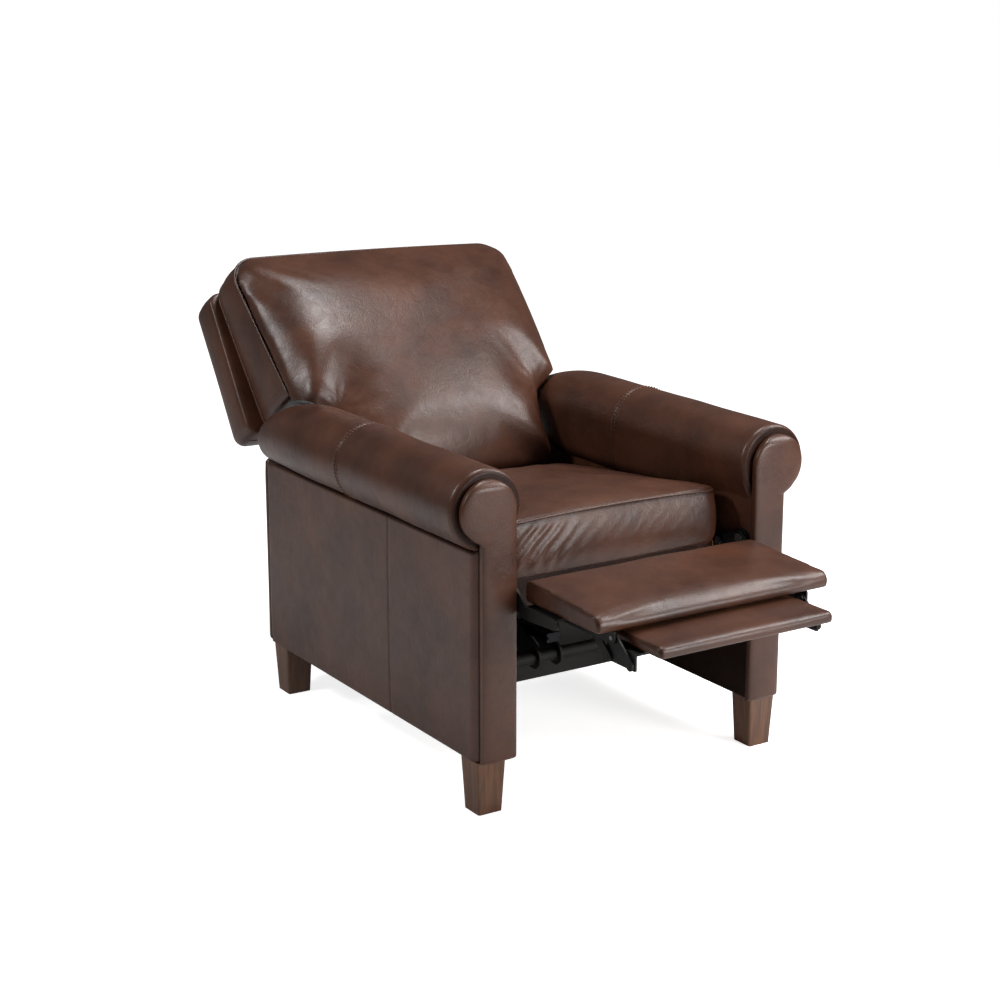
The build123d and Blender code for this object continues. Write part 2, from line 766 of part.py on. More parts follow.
def pad_sections(half_width, front, rear, bottom, top, nose, crown):
    """Five sections of a pad across the chair, smaller at its two ends and fullest in the middle."""
    shoulder = half_width - nose / 2
    lift = nose / 4
    low_top = top - crown
    return [
        pad_section(-half_width, front + lift, rear - lift, bottom, low_top - lift, nose, crown / 4),
        pad_section(-shoulder, front, rear, bottom, low_top, nose, crown / 4),
        pad_section(0, front, rear, bottom, low_top, nose, crown),
        pad_section(shoulder, front, rear, bottom, low_top, nose, crown / 4),
        pad_section(half_width, front + lift, rear - lift, bottom, low_top - lift, nose, crown / 4),
    ]


with BuildPart() as main_board:
    with BuildSketch(Plane((0, arm_face_y, main_bottom))):
        with Locations((0, -main_depth / 2)):
            Rectangle(2 * (main_half_width - ply_inset), main_depth - 2 * main_nose)
    extrude(amount=main_ply)
write(main_board.part, "footrest_board")

with BuildPart() as main_pad:
    ends = pad_sections(main_half_width, -main_depth, 0, main_bottom, main_top, main_nose, main_crown)
    loft(ends[:2], ruled=True)
    loft(ends[1:4])
    loft(ends[3:], ruled=True)
    add(main_board.part, mode=Mode.SUBTRACT)
write(main_pad.part, "footrest_pad")

flipper_top = main_bottom - flipper_gap
flipper_bottom = flipper_top - flipper_thickness
flipper_reach = 2 * flipper_link_length * sin(radians(flipper_link_angle))
flipper_front = -main_depth - flipper_reach
flipper_rear = flipper_front + flipper_depth
flipper_pins = [polar(pivot, flipper_link_length, 270 - flipper_link_angle) for pivot in flipper_pivots]
with BuildPart() as flipper_board:
    with BuildSketch(Plane((0, arm_face_y, flipper_bottom))):
        with Locations((0, (flipper_front + flipper_rear) / 2)):
            Rectangle(2 * (flipper_half_width - ply_inset), flipper_depth - 3 * flipper_nose)
    extrude(amount=flipper_ply)
write(flipper_board.part, "flipper_board")

with BuildPart() as flipper_pad:
    ends = pad_sections(flipper_half_width, flipper_front, flipper_rear, flipper_bottom, flipper_top,
                        flipper_nose, flipper_crown)
    loft(ends[:2], ruled=True)
    loft(ends[1:4])
    loft(ends[3:], ruled=True)
    add(flipper_board.part, mode=Mode.SUBTRACT)
write(flipper_pad.part, "flipper_pad")

flipper_link_x = bracket_leg_x - lane_gap - plate_thickness
flipper_leg_x = flipper_link_x - lane_gap - plate_thickness
for name, pivot, pin in (("front_flipper_links", flipper_pivots[1], flipper_pins[1]),
                         ("rear_flipper_links", flipper_pivots[0], flipper_pins[0])):
    with BuildPart() as flipper_links:
        for _, sign in sides:
            bar = hull_outline(
                lane(sign, flipper_link_x, plate_thickness),
                [(pivot, flipper_boss), (pin, flipper_boss)],
                [(pivot, flipper_pin_radius + running_gap), (pin, flipper_pin_radius + running_gap)])
            extrude(bar, amount=plate_thickness)
    write(flipper_links.part, name)

flipper_head_x = flipper_link_x - pin_head_gap / 2 - flipper_pin_head
with BuildPart() as bracket_pins:
    add(rocker_pins)
    add(headed_pins(flipper_pivots, flipper_pin_radius, flipper_pin_head, flipper_head_x,
                    bracket_leg_x + plate_thickness))
write(bracket_pins.part, "swing_bracket_pins")

with BuildPart() as flipper_brackets:
    flange_inner = flipper_half_width - bracket_flange_reach
    flange_outer = flipper_leg_x + plate_thickness
    flange_front = flipper_pins[1][0] - flipper_boss
    flange_rear = flipper_pins[0][0] + flipper_boss
    for _, sign in sides:
        with BuildSketch(Plane((0, arm_face_y, flipper_bottom - plate_thickness))):
            with Locations((sign * (flange_inner + flange_outer) / 2, (flange_front + flange_rear) / 2)):
                Rectangle(flange_outer - flange_inner, flange_rear - flange_front)
        extrude(amount=plate_thickness)
        leg_bottom = flipper_pins[0][1] - flipper_boss
        with BuildSketch(lane(sign, flipper_leg_x, plate_thickness)):
            with Locations(((flange_front + flange_rear) / 2, (leg_bottom + flipper_bottom) / 2)):
                RectangleRounded(flange_rear - flange_front, flipper_bottom - leg_bottom, plate_thickness / 2)
        extrude(amount=plate_thickness)
        stub_length = plate_thickness + lane_gap + pin_head_gap
        with BuildSketch(lane(sign, flipper_leg_x + plate_thickness, stub_length)):
            with Locations(flipper_pins):
                Circle(flipper_pin_radius)
        extrude(amount=stub_length)
write(flipper_brackets.part, "flipper_brackets")

# Actuators: motor and gearbox, grooved guide rail, and a carriage whose pin works the cam plates
def guide_rail(x, front, rear):
    """Grooved rail along the chair on top of the cross rails."""
    with BuildPart() as rail:
        with BuildSketch(Plane((x, arm_face_y + front, cross_rail_top), x_dir=(1, 0, 0), z_dir=(0, -1, 0))):
            with Locations((0, rail_height / 2)):
                Rectangle(rail_width, rail_height)
            with Locations((0, rail_groove_lift + rail_groove / 2)):
                with GridLocations(rail_width - rail_groove, 1, 2, 1):
                    Rectangle(rail_groove, rail_groove, mode=Mode.SUBTRACT)
        extrude(amount=front - rear)
    return rail.part


def carriage(x, depth):
    """Saddle that hooks into the rail's grooves and carries the drive pin."""
    with BuildPart() as saddle:
        front = Plane((x, arm_face_y + depth - carriage_length / 2, cross_rail_top),
                      x_dir=(1, 0, 0), z_dir=(0, -1, 0))
        inner_half = rail_width / 2 + slide_gap
        skirt = rail_groove_lift - slide_gap - carriage_lip
        hook = rail_groove - 2 * slide_gap
        crest = carriage_top - cross_rail_top
        with BuildSketch(front):
            with Locations((0, (skirt + crest) / 2)):
                Rectangle(2 * (inner_half + carriage_wall), crest - skirt)
            with Locations((0, (skirt + rail_height + slide_gap) / 2)):
                Rectangle(2 * inner_half, rail_height + slide_gap - skirt, mode=Mode.SUBTRACT)
            with Locations((0, rail_groove_lift + rail_groove / 2)):
                with GridLocations(2 * inner_half - hook, 1, 2, 1):
                    Rectangle(hook, hook)
        extrude(amount=-carriage_length)
        pin_half = cam_gap + cam_thickness + pin_head
        with BuildSketch(side_plane(x - pin_half)):
            with Locations((depth, drive_pin_height)):
                Circle(drive_pin_radius)
        extrude(amount=2 * pin_half)
    return saddle.part


def gear_motor(x, sign, front):
    """Gearbox at the end of a rail with its motor lying across the chair."""
    with BuildPart() as motor:
        with BuildSketch(Plane((x, arm_face_y + front + gearbox_length / 2, cross_rail_top))):
            RectangleRounded(gearbox_width, gearbox_length, gearbox_round)
        extrude(amount=gearbox_height)
        fillet(motor.faces().sort_by(Axis.Z)[-1].edges(), gearbox_round / 2)
        axis_height = cross_rail_top + gearbox_height / 2
        can_base = (x + sign * gearbox_width / 2, arm_face_y + front + gearbox_length / 2, axis_height)
        can_start = Plane(can_base, z_dir=(sign, 0, 0))
        with BuildSketch(can_start):
            Circle(motor_radius)
        extrude(amount=motor_length)
        with BuildSketch(can_start.offset(motor_length)):
            Circle(motor_nose_radius)
        extrude(amount=motor_nose)
    return motor.part


write(guide_rail(-actuator_x, footrest_rail_front, footrest_rail_rear), "footrest_guide_rail")
write(carriage(-actuator_x, drive_axis[0] + footrest_stroke), "footrest_carriage")
write(gear_motor(-actuator_x, -1, footrest_rail_rear), "footrest_motor")
write(guide_rail(actuator_x, back_rail_front, back_rail_rear), "back_guide_rail")
write(carriage(actuator_x, back_pivot[0]), "back_carriage")
write(gear_motor(actuator_x, 1, back_rail_front - gearbox_length), "back_motor")

with BuildPart() as clamps:
    for x, depth in ((-actuator_x, mid_rail_depth), (actuator_x, rear_rail_depth)):
        strap_front = depth + (cross_rail_thickness - clamp_length) / 2
        outer_half = rail_width / 2 + clamp_thickness
        with BuildSketch(Plane((x, arm_face_y + strap_front, cross_rail_top), x_dir=(1, 0, 0),
                               z_dir=(0, -1, 0))):
            with Locations((0, (rail_height + clamp_thickness) / 2)):
                Rectangle(2 * outer_half, rail_height + clamp_thickness)
            with Locations((0, clamp_thickness / 2)):
                Rectangle(2 * (outer_half + clamp_foot), clamp_thickness)
            with Locations((0, rail_height / 2)):
                Rectangle(rail_width, rail_height, mode=Mode.SUBTRACT)
        extrude(amount=-clamp_length)
write(clamps.part, "rail_clamps")

# Control box on the rear cross rail, with the power inlet in its side
with BuildPart() as control_box:
    box_front = rear_rail_depth - control_box_depth
    box_middle = (control_box_x, arm_face_y + box_front + control_box_depth / 2, control_box_base)
    with BuildSketch(Plane(box_middle)):
        Rectangle(control_box_length, control_box_depth)
    extrude(amount=control_box_height)
    fillet(control_box.faces().sort_by(Axis.Y)[0].edges(), control_box_round)
    inlet_plane = Plane((control_box_x - control_box_length / 2, box_middle[1],
                         control_box_base + control_box_height / 2), z_dir=(-1, 0, 0))
    with BuildSketch(inlet_plane):
        Circle(inlet_radius)
    extrude(amount=inlet_length)
    with Locations(inlet_plane.offset(inlet_length)):
        Hole(inlet_bore_radius, 2 * inlet_length)
write(control_box.part, "control_box")

# Switch plate in the outer side of the sitter's left arm, with four push buttons
with BuildPart() as switch_bezel:
    with BuildSketch(side_plane(arm_outer_x - switch_body)):
        with Locations((switch_depth, switch_height)):
            SlotOverall(switch_width, switch_tall)
    extrude(amount=switch_body)
    with BuildSketch(side_plane(arm_outer_x)):
        with Locations((switch_depth, switch_height)):
            SlotOverall(switch_width + 2 * switch_flange, switch_tall + 2 * switch_flange)
    extrude(amount=switch_plate)
    fillet(switch_bezel.faces().sort_by(Axis.X)[-1].edges(), switch_plate / 2)
    with BuildSketch(side_plane(arm_outer_x - switch_body + switch_floor)):
        with Locations(switch_places):
            Circle(button_radius + button_gap)
    extrude(amount=switch_body + switch_plate, mode=Mode.SUBTRACT)
write(switch_bezel.part, "switch_bezel")

button_base = arm_outer_x - switch_body + switch_floor + button_travel + button_stop_gap
for name, place in zip(button_names, switch_places):
    with BuildPart() as button:
        with BuildSketch(side_plane(button_base)):
            with Locations(place):
                Circle(button_radius)
        extrude(amount=arm_outer_x + switch_plate + button_proud - button_base)
        fillet(button.faces().sort_by(Axis.X)[-1].edges(), button_dome)
    write(button.part, name)

# Back: everything below turns about the back pivot
lean = radians(back_lean)
rearward = Vector(0, cos(lean), -sin(lean))
back_origin = Vector(0, arm_face_y + back_pivot[0], back_pivot[1])


def back_side(x):
    """Plane across the back at x, read as places rearwards of the pivot and up the back."""
    return Plane(back_origin + Vector(x, 0, 0), x_dir=rearward, z_dir=(1, 0, 0))


def back_front(depth, top_depth=None):
    """Plane along the back, facing forwards, at a depth behind the pivot and at another at its top."""
    tilt = 0 if top_depth is None else atan2(top_depth - depth, back_top)
    turned = lean + tilt
    return Plane(back_origin + rearward * depth, x_dir=(1, 0, 0), z_dir=(0, -cos(turned), sin(turned)))


back_rear_depth = back_front_depth + back_deck_thickness
boxing_rear = back_rear_depth + back_boxing_depth
write(cross_tube(back_pivot, back_tube_radius), "back_drive_tube")

drop = back_pivot[1] - drive_pin_height
slot_centre = (back_pivot[0], back_pivot[1] - drop)
back_slot_radius = drive_pin_radius + back_slot_gap
with BuildPart() as back_cams:
    for offset_x in (cam_gap, -cam_gap - cam_thickness):
        cam_plane = side_plane(actuator_x + offset_x)
        blank = hull_outline(
            cam_plane,
            [(back_pivot, back_cam_boss), (slot_centre, back_slot_length / 2 + back_slot_radius + cam_rim)],
            [(back_pivot, back_tube_radius + weld_gap)])
        extrude(blank, amount=cam_thickness)
        with BuildSketch(cam_plane):
            with Locations(slot_centre):
                SlotCenterToCenter(back_slot_length, 2 * back_slot_radius, rotation=90)
        extrude(amount=cam_thickness, mode=Mode.SUBTRACT)
write(back_cams.part, "back_cam_plates")

stile_outer_x = stile_inner_x + stile_width
with BuildPart() as back_brackets:
    bracket_reach = back_rear_depth + stile_thickness - back_bracket_end
    for _, sign in sides:
        low_x = stile_outer_x if sign > 0 else -stile_outer_x - plate_thickness
        for hubs in (
            [((0, 0), back_bracket_boss), ((bracket_reach, back_bracket_low), back_bracket_end)],
            [((bracket_reach, back_bracket_low), back_bracket_end),
             ((bracket_reach, back_bracket_high), back_bracket_end)],
        ):
            extrude(hull_outline(back_side(low_x), hubs, []), amount=plate_thickness)
        with BuildSketch(back_side(low_x)):
            Circle(back_tube_radius + weld_gap)
        extrude(amount=plate_thickness, mode=Mode.SUBTRACT)
write(back_brackets.part, "back_brackets")

with BuildPart() as back_stiles:
    with BuildSketch(back_front(back_rear_depth)):
        with Locations((0, (stile_bottom + stile_top) / 2)):
            with GridLocations(2 * stile_inner_x + stile_width, 1, 2, 1):
                Rectangle(stile_width, stile_top - stile_bottom)
    extrude(amount=-stile_thickness)
write(back_stiles.part, "back_stiles")

with BuildPart() as back_rails:
    with BuildSketch(back_front(back_rear_depth)):
        for low in (stile_bottom, back_mid_rail, stile_top - back_rail_width):
            with Locations((0, low + back_rail_width / 2)):
                Rectangle(2 * stile_inner_x, back_rail_width)
    extrude(amount=-stile_thickness)
write(back_rails.part, "back_rails")


def t_outline(plane, inset, ear_bottom, bottom, corner):
    """T-shaped outline of the back: narrow between the arms and wide above them."""
    low_half = back_lower_half - inset
    high_half = back_upper_half - inset
    ear = ear_bottom + inset
    low = bottom + inset / 2
    with BuildSketch(plane) as outline:
        with BuildLine():
            Polyline(
                (-low_half, low), (low_half, low), (low_half, ear), (high_half, ear),
                (high_half, back_top - inset), (-high_half, back_top - inset), (-high_half, ear),
                (-low_half, ear), close=True)
        make_face()
        fillet(outline.vertices().group_by(Axis.Y)[-1], corner)
        fillet(outline.vertices().group_by(Axis.Y)[0], back_step_round)
    return outline.sketch


with BuildPart() as back_body:
    deck = t_outline(back_front(back_front_depth), 0, back_ear_bottom, back_bottom, back_corner_round)
    extrude(deck, amount=-back_deck_thickness)
    with BuildSketch(back_front(back_rear_depth)) as boxing:
        with Locations((0, (back_ear_bottom + back_top) / 2)):
            Rectangle(2 * back_upper_half, back_top - back_ear_bottom)
        fillet(boxing.vertices().group_by(Axis.Y)[-1], back_corner_round)
    extrude(amount=-back_boxing_depth)
    rear_face = back_body.faces().sort_by(Axis(back_origin, rearward))[-1]
    fillet(rear_face.edges(), back_edge_round)
    add(back_stiles.part, mode=Mode.SUBTRACT)
    add(back_rails.part, mode=Mode.SUBTRACT)
    add(back_brackets.part, mode=Mode.SUBTRACT)
write(back_body.part, "back_body")

with BuildPart() as back_cover:
    with BuildSketch(back_front(back_rear_depth + stile_thickness)):
        with Locations((0, (stile_bottom + back_ear_bottom) / 2)):
            Rectangle(2 * back_lower_half, back_ear_bottom - stile_bottom)
    extrude(amount=-back_cover_thickness)
write(back_cover.part, "back_lower_cover")

cushion_insets = {
    0: cushion_draw,
    cushion_edge_share: 0,
    cushion_shoulder_share: cushion_draw / 3,
    1: cushion_crown_inset,
}
with BuildPart() as back_cushion:
    sections = []
    for share, inset in cushion_insets.items():
        plane = back_front(back_front_depth - share * cushion_base_depth,
                           back_front_depth - share * cushion_top_depth)
        sections.append(t_outline(plane, inset, cushion_ear_bottom, back_bottom, back_corner_round))
    loft(sections)
    add(back_brackets.part, mode=Mode.SUBTRACT)
write(back_cushion.part, "back_cushion")

# Padded outer back behind a gap, on wooden spacers
outer_front = boxing_rear + outer_back_gap
spacer_heights = (back_mid_rail + back_rail_width, stile_top - back_rail_width)
with BuildPart() as spacers:
    with BuildSketch(back_front(boxing_rear)):
        for height in spacer_heights:
            with Locations((0, height)):
                with GridLocations(2 * spacer_x, 1, 2, 1):
                    Rectangle(spacer_width, spacer_height)
    extrude(amount=-outer_back_gap)
write(spacers.part, "outer_back_spacers")


def outer_outline(depth, inset):
    """Outline of the outer back panel at a depth, drawn in by an inset."""
    with BuildSketch(back_front(depth)) as outline:
        with Locations((0, (outer_back_bottom + outer_back_top) / 2)):
            RectangleRounded(2 * (outer_back_half - inset), outer_back_top - outer_back_bottom - 2 * inset,
                             outer_back_corner)
    return outline.sketch


with BuildPart() as outer_back:
    loft([
        outer_outline(outer_front, outer_back_round),
        outer_outline(outer_front + outer_back_round / 2, outer_back_round / 4),
        outer_outline(outer_front + outer_back_thickness / 2, 0),
        outer_outline(outer_front + outer_back_thickness - outer_back_round, outer_back_round / 4),
        outer_outline(outer_front + outer_back_thickness, outer_back_round + outer_back_crown),
    ])
write(outer_back.part, "outer_back_panel")
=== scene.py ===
import logging
import math
from dataclasses import dataclass, field
from enum import Enum
from typing import Any, Callable, Iterable, Mapping, Optional, Sequence, Union

import bmesh
import bpy
import numpy as np
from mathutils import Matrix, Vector


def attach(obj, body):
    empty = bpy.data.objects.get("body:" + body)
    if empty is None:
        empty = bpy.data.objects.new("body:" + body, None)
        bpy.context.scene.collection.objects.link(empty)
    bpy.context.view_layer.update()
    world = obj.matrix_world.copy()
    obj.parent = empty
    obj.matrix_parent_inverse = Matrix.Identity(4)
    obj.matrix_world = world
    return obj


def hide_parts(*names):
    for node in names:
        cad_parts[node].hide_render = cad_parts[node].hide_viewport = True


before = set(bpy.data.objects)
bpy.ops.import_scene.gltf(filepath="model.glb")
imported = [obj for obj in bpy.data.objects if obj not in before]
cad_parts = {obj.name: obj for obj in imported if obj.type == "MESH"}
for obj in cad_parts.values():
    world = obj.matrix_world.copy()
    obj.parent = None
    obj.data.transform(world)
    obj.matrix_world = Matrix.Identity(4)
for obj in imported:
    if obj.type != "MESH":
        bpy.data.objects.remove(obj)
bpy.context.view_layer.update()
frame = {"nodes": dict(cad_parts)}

logging.basicConfig(level=logging.INFO, format="%(message)s")
log = logging.getLogger("recliner")

FACE_Y = -0.4204
Array = np.ndarray
PointRule = Callable[[Array], Array]


class Side(Enum):
    """Which arm of the chair, as its sitter names it, and the sign of its x."""

    RIGHT = -1
    LEFT = 1

    @property
    def word(self) -> str:
        """The side's word in the names of the pieces."""
        return self.name.lower()


class Grain(Enum):
    """Row axis that a piece of timber's fibres run along."""

    ACROSS = 0
    ALONG = 1
    UP = 2


# Finishes


def linear(code: str) -> tuple[float, float, float, float]:
    """Turn an sRGB hex colour into linear RGBA.

    Args:
        code: Six hex digits with a leading hash.

    Returns:
        The linear colour with full alpha.
    """
    srgb = np.array([int(code[i:i + 2], 16) / 255 for i in (1, 3, 5)])
    low = srgb / 12.92
    high = ((srgb + 0.055) / 1.055) ** 2.4
    return (*np.where(srgb <= 0.04045, low, high).tolist(), 1.0)


def per_metre(size_mm: float) -> float:
    """Texture scale that repeats a pattern about once in a size in millimetres."""
    return 1000.0 / size_mm


def add_node(
    tree: bpy.types.NodeTree,
    kind: str,
    settings: Optional[Mapping[str, Any]] = None,
    inputs: Optional[Mapping[Union[str, int], Any]] = None,
) -> bpy.types.Node:
    """Add one node with its settings, values and links.

    Args:
        tree: Node tree that takes the node.
        kind: Blender's type name of the node.
        settings: Properties to set on the node.
        inputs: Values or output sockets for its inputs.

    Returns:
        The new node.
    """
    made = tree.nodes.new(kind)
    for key, value in (settings or {}).items():
        setattr(made, key, value)
    for key, value in (inputs or {}).items():
        if isinstance(value, bpy.types.NodeSocket):
            tree.links.new(value, made.inputs[key])
        else:
            made.inputs[key].default_value = value
    return made


class Finish:
    """A surface finish that makes its material once and hands it out by name."""

    name: str

    def material(self) -> bpy.types.Material:
        """Return the finish's material, made on first use."""
        found = bpy.data.materials.get(self.name)
        if found is not None:
            return found
        made = bpy.data.materials.new(self.name)
        made.use_nodes = True
        tree = made.node_tree
        tree.nodes.clear()
        shader = add_node(tree, "ShaderNodeBsdfPrincipled")
        add_node(tree, "ShaderNodeOutputMaterial", inputs={"Surface": shader.outputs["BSDF"]})
        coords = add_node(tree, "ShaderNodeTexCoord").outputs["Object"]
        for key, value in self.sockets(tree, coords).items():
            if isinstance(value, bpy.types.NodeSocket):
                tree.links.new(value, shader.inputs[key])
            else:
                shader.inputs[key].default_value = value
        return made

    def sockets(self, tree: bpy.types.NodeTree, coords: bpy.types.NodeSocket) -> dict[str, Any]:
        """Values and links for the shader's sockets.

        Args:
            tree: Node tree of the material.
            coords: Object coordinates in metres.

        Returns:
            Socket name to value or output socket.
        """
        raise NotImplementedError

    def dress(self, piece: bpy.types.Object) -> None:
        """Give a piece this finish alone."""
        piece.data.materials.clear()
        piece.data.materials.append(self.material())


@dataclass(frozen=True)
class PigmentedLeather(Finish):
    """Pigmented cowhide, embossed and waxed.

    It gives the eye soft mottling, a fine pebble grain, a broad sheen, and painted shade that darkens and
    dulls the leather in seams, grooves and recesses.
    """

    name: str = "pigmented_cowhide"
    deep: str = "#381f15"
    pale: str = "#543222"
    # Colour of the painted shade: the leather darkens to it in seams, grooves and recesses.
    seam: str = "#150b08"
    mottle_mm: float = 130.0
    pebble_mm: float = 2.4
    crease_mm: float = 26.0
    pebble_height: float = 0.0006
    crease_height: float = 0.0035
    relief: float = 0.20
    roughness: float = 0.38
    spread: float = 0.10
    gleam: float = 0.46
    # Sheen left where the painted shade is full.
    shade_gleam: float = 0.04

    def sockets(self, tree: bpy.types.NodeTree, coords: bpy.types.NodeSocket) -> dict[str, Any]:
        """Mottled browns, darkened and dulled by painted shade from a vertex attribute, under a pebbled and
        faintly wrinkled skin.
        """
        mottle = add_node(tree, "ShaderNodeTexNoise", inputs={
            "Vector": coords, "Scale": per_metre(self.mottle_mm), "Detail": 5.0, "Roughness": 0.6})
        tone = add_node(tree, "ShaderNodeMapRange", inputs={
            "Value": mottle.outputs["Fac"], "From Min": 0.32, "From Max": 0.68})
        skin = add_node(tree, "ShaderNodeMixRGB", inputs={
            "Fac": tone.outputs["Result"], "Color1": linear(self.deep), "Color2": linear(self.pale)})
        # Painted shade: a vertex attribute mixes in the dark colour and dims the sheen where shade falls.
        painted_shade = add_node(tree, "ShaderNodeAttribute", {"attribute_name": "painted_shade"})
        shaded_skin = add_node(tree, "ShaderNodeMixRGB", inputs={
            "Fac": painted_shade.outputs["Fac"], "Color1": skin.outputs["Color"], "Color2": linear(self.seam)})
        # The pebbles are drawn coarser than the real millimetre so that they show in the render.
        pebble = add_node(tree, "ShaderNodeTexVoronoi", inputs={
            "Vector": coords, "Scale": per_metre(self.pebble_mm)})
        folds = add_node(tree, "ShaderNodeTexNoise", inputs={
            "Vector": coords, "Scale": per_metre(self.crease_mm), "Detail": 4.0, "Roughness": 0.65,
            "Distortion": 0.6})
        soft = add_node(tree, "ShaderNodeBump", inputs={
            "Strength": self.relief, "Distance": self.crease_height, "Height": folds.outputs["Fac"]})
        fine = add_node(tree, "ShaderNodeBump", {"invert": True}, {
            "Strength": self.relief, "Distance": self.pebble_height,
            "Height": pebble.outputs["Distance"], "Normal": soft.outputs["Normal"]})
        shine = add_node(tree, "ShaderNodeMapRange", inputs={
            "Value": folds.outputs["Fac"], "From Min": 0.3, "From Max": 0.7,
            "To Min": self.roughness - self.spread / 2, "To Max": self.roughness + self.spread / 2})
        gleam = add_node(tree, "ShaderNodeMapRange", inputs={
            "Value": painted_shade.outputs["Fac"], "To Min": self.gleam, "To Max": self.shade_gleam})
        return {
            "Base Color": shaded_skin.outputs["Color"],
            "Roughness": shine.outputs["Result"],
            "Specular IOR Level": gleam.outputs["Result"],
            "Normal": fine.outputs["Normal"],
            "IOR": 1.5,
        }


@dataclass(frozen=True)
class Timber(Finish):
    """Sawn or lacquered wood: long streaks of early and late growth along the fibres, with fine pores."""

    name: str
    early: str
    late: str
    grain: Grain
    ring_mm: float = 9.0
    pore_mm: float = 1.2
    stretch: float = 12.0
    roughness: float = 0.5
    spread: tuple[float, float] = (-0.06, 0.08)
    coat: float = 0.0

    def sockets(self, tree: bpy.types.NodeTree, coords: bpy.types.NodeSocket) -> dict[str, Any]:
        """Noise stretched along the fibres gives the rings, a finer one the pores."""
        scale = [1.0, 1.0, 1.0]
        scale[self.grain.value] = 1.0 / self.stretch
        fibres = add_node(tree, "ShaderNodeMapping", inputs={"Vector": coords, "Scale": scale})
        rings = add_node(tree, "ShaderNodeTexNoise", inputs={
            "Vector": fibres.outputs["Vector"], "Scale": per_metre(self.ring_mm), "Detail": 4.0,
            "Roughness": 0.55, "Distortion": 0.8})
        pores = add_node(tree, "ShaderNodeTexNoise", inputs={
            "Vector": fibres.outputs["Vector"], "Scale": per_metre(self.pore_mm), "Detail": 2.0})
        streak = add_node(tree, "ShaderNodeMapRange", inputs={
            "Value": rings.outputs["Fac"], "From Min": 0.35, "From Max": 0.65})
        colour = add_node(tree, "ShaderNodeMixRGB", inputs={
            "Fac": streak.outputs["Result"], "Color1": linear(self.early), "Color2": linear(self.late)})
        relief = add_node(tree, "ShaderNodeBump", inputs={
            "Strength": 0.15, "Distance": 0.0005, "Height": pores.outputs["Fac"]})
        gloss = add_node(tree, "ShaderNodeMapRange", inputs={
            "Value": pores.outputs["Fac"],
            "To Min": self.roughness + self.spread[0], "To Max": self.roughness + self.spread[1]})
        return {
            "Base Color": colour.outputs["Color"],
            "Roughness": gloss.outputs["Result"],
            "Normal": relief.outputs["Normal"],
            "IOR": 1.5,
            "Coat Weight": self.coat,
            "Coat Roughness": 0.25,
        }


@dataclass(frozen=True)
class Metal(Finish):
    """Bare or plated metal: brushed or spangled reflections from a fine change of roughness."""

    name: str
    colour: str
    tarnish: str
    roughness: float
    spangle_mm: float
    spread: tuple[float, float] = (-0.08, 0.12)

    def sockets(self, tree: bpy.types.NodeTree, coords: bpy.types.NodeSocket) -> dict[str, Any]:
        """Two metal colours and a roughness, both following one noise of the spangle's size."""
        spangle = add_node(tree, "ShaderNodeTexNoise", inputs={
            "Vector": coords, "Scale": per_metre(self.spangle_mm), "Detail": 3.0})
        colour = add_node(tree, "ShaderNodeMixRGB", inputs={
            "Fac": spangle.outputs["Fac"], "Color1": linear(self.colour), "Color2": linear(self.tarnish)})
        gloss = add_node(tree, "ShaderNodeMapRange", inputs={
            "Value": spangle.outputs["Fac"],
            "To Min": self.roughness + self.spread[0], "To Max": self.roughness + self.spread[1]})
        return {"Base Color": colour.outputs["Color"], "Metallic": 1.0, "Roughness": gloss.outputs["Result"]}


@dataclass(frozen=True)
class Coating(Finish):
    """Powder coat or moulded plastic: one pigment with a fine orange-peel skin and a faint change of tone."""

    name: str
    colour: str
    worn: str
    roughness: float
    peel_mm: float
    peel_height: float = 0.0002
    tone_mm: float = 40.0
    gleam: float = 0.3

    def sockets(self, tree: bpy.types.NodeTree, coords: bpy.types.NodeSocket) -> dict[str, Any]:
        """The pigment varies with a slow noise, and a fine noise of the peel's size bumps the skin."""
        tone = add_node(tree, "ShaderNodeTexNoise", inputs={
            "Vector": coords, "Scale": per_metre(self.tone_mm), "Detail": 3.0})
        colour = add_node(tree, "ShaderNodeMixRGB", inputs={
            "Fac": tone.outputs["Fac"], "Color1": linear(self.colour), "Color2": linear(self.worn)})
        peel = add_node(tree, "ShaderNodeTexNoise", inputs={
            "Vector": coords, "Scale": per_metre(self.peel_mm), "Detail": 2.0})
        relief = add_node(tree, "ShaderNodeBump", inputs={
            "Strength": 0.3, "Distance": self.peel_height, "Height": peel.outputs["Fac"]})
        return {
            "Base Color": colour.outputs["Color"],
            "Roughness": self.roughness,
            "Normal": relief.outputs["Normal"],
            "Specular IOR Level": self.gleam,
        }


@dataclass(frozen=True)
class LiningCloth(Finish):
    """Spun-bonded lining: matt black with a dimpled bond pattern."""

    name: str = "spun_bonded_lining"
    colour: str = "#17140f"
    bond: str = "#27231f"
    bond_mm: float = 2.5

    def sockets(self, tree: bpy.types.NodeTree, coords: bpy.types.NodeSocket) -> dict[str, Any]:
        """Cells of the bond's spacing darken the cloth and press dimples into it."""
        cells = add_node(tree, "ShaderNodeTexVoronoi", inputs={
            "Vector": coords, "Scale": per_metre(self.bond_mm), "Randomness": 0.3})
        colour = add_node(tree, "ShaderNodeMixRGB", inputs={
            "Fac": cells.outputs["Distance"], "Color1": linear(self.colour), "Color2": linear(self.bond)})
        relief = add_node(tree, "ShaderNodeBump", inputs={
            "Strength": 0.4, "Distance": 0.0004, "Height": cells.outputs["Distance"]})
        return {"Base Color": colour.outputs["Color"], "Roughness": 0.9, "Normal": relief.outputs["Normal"]}


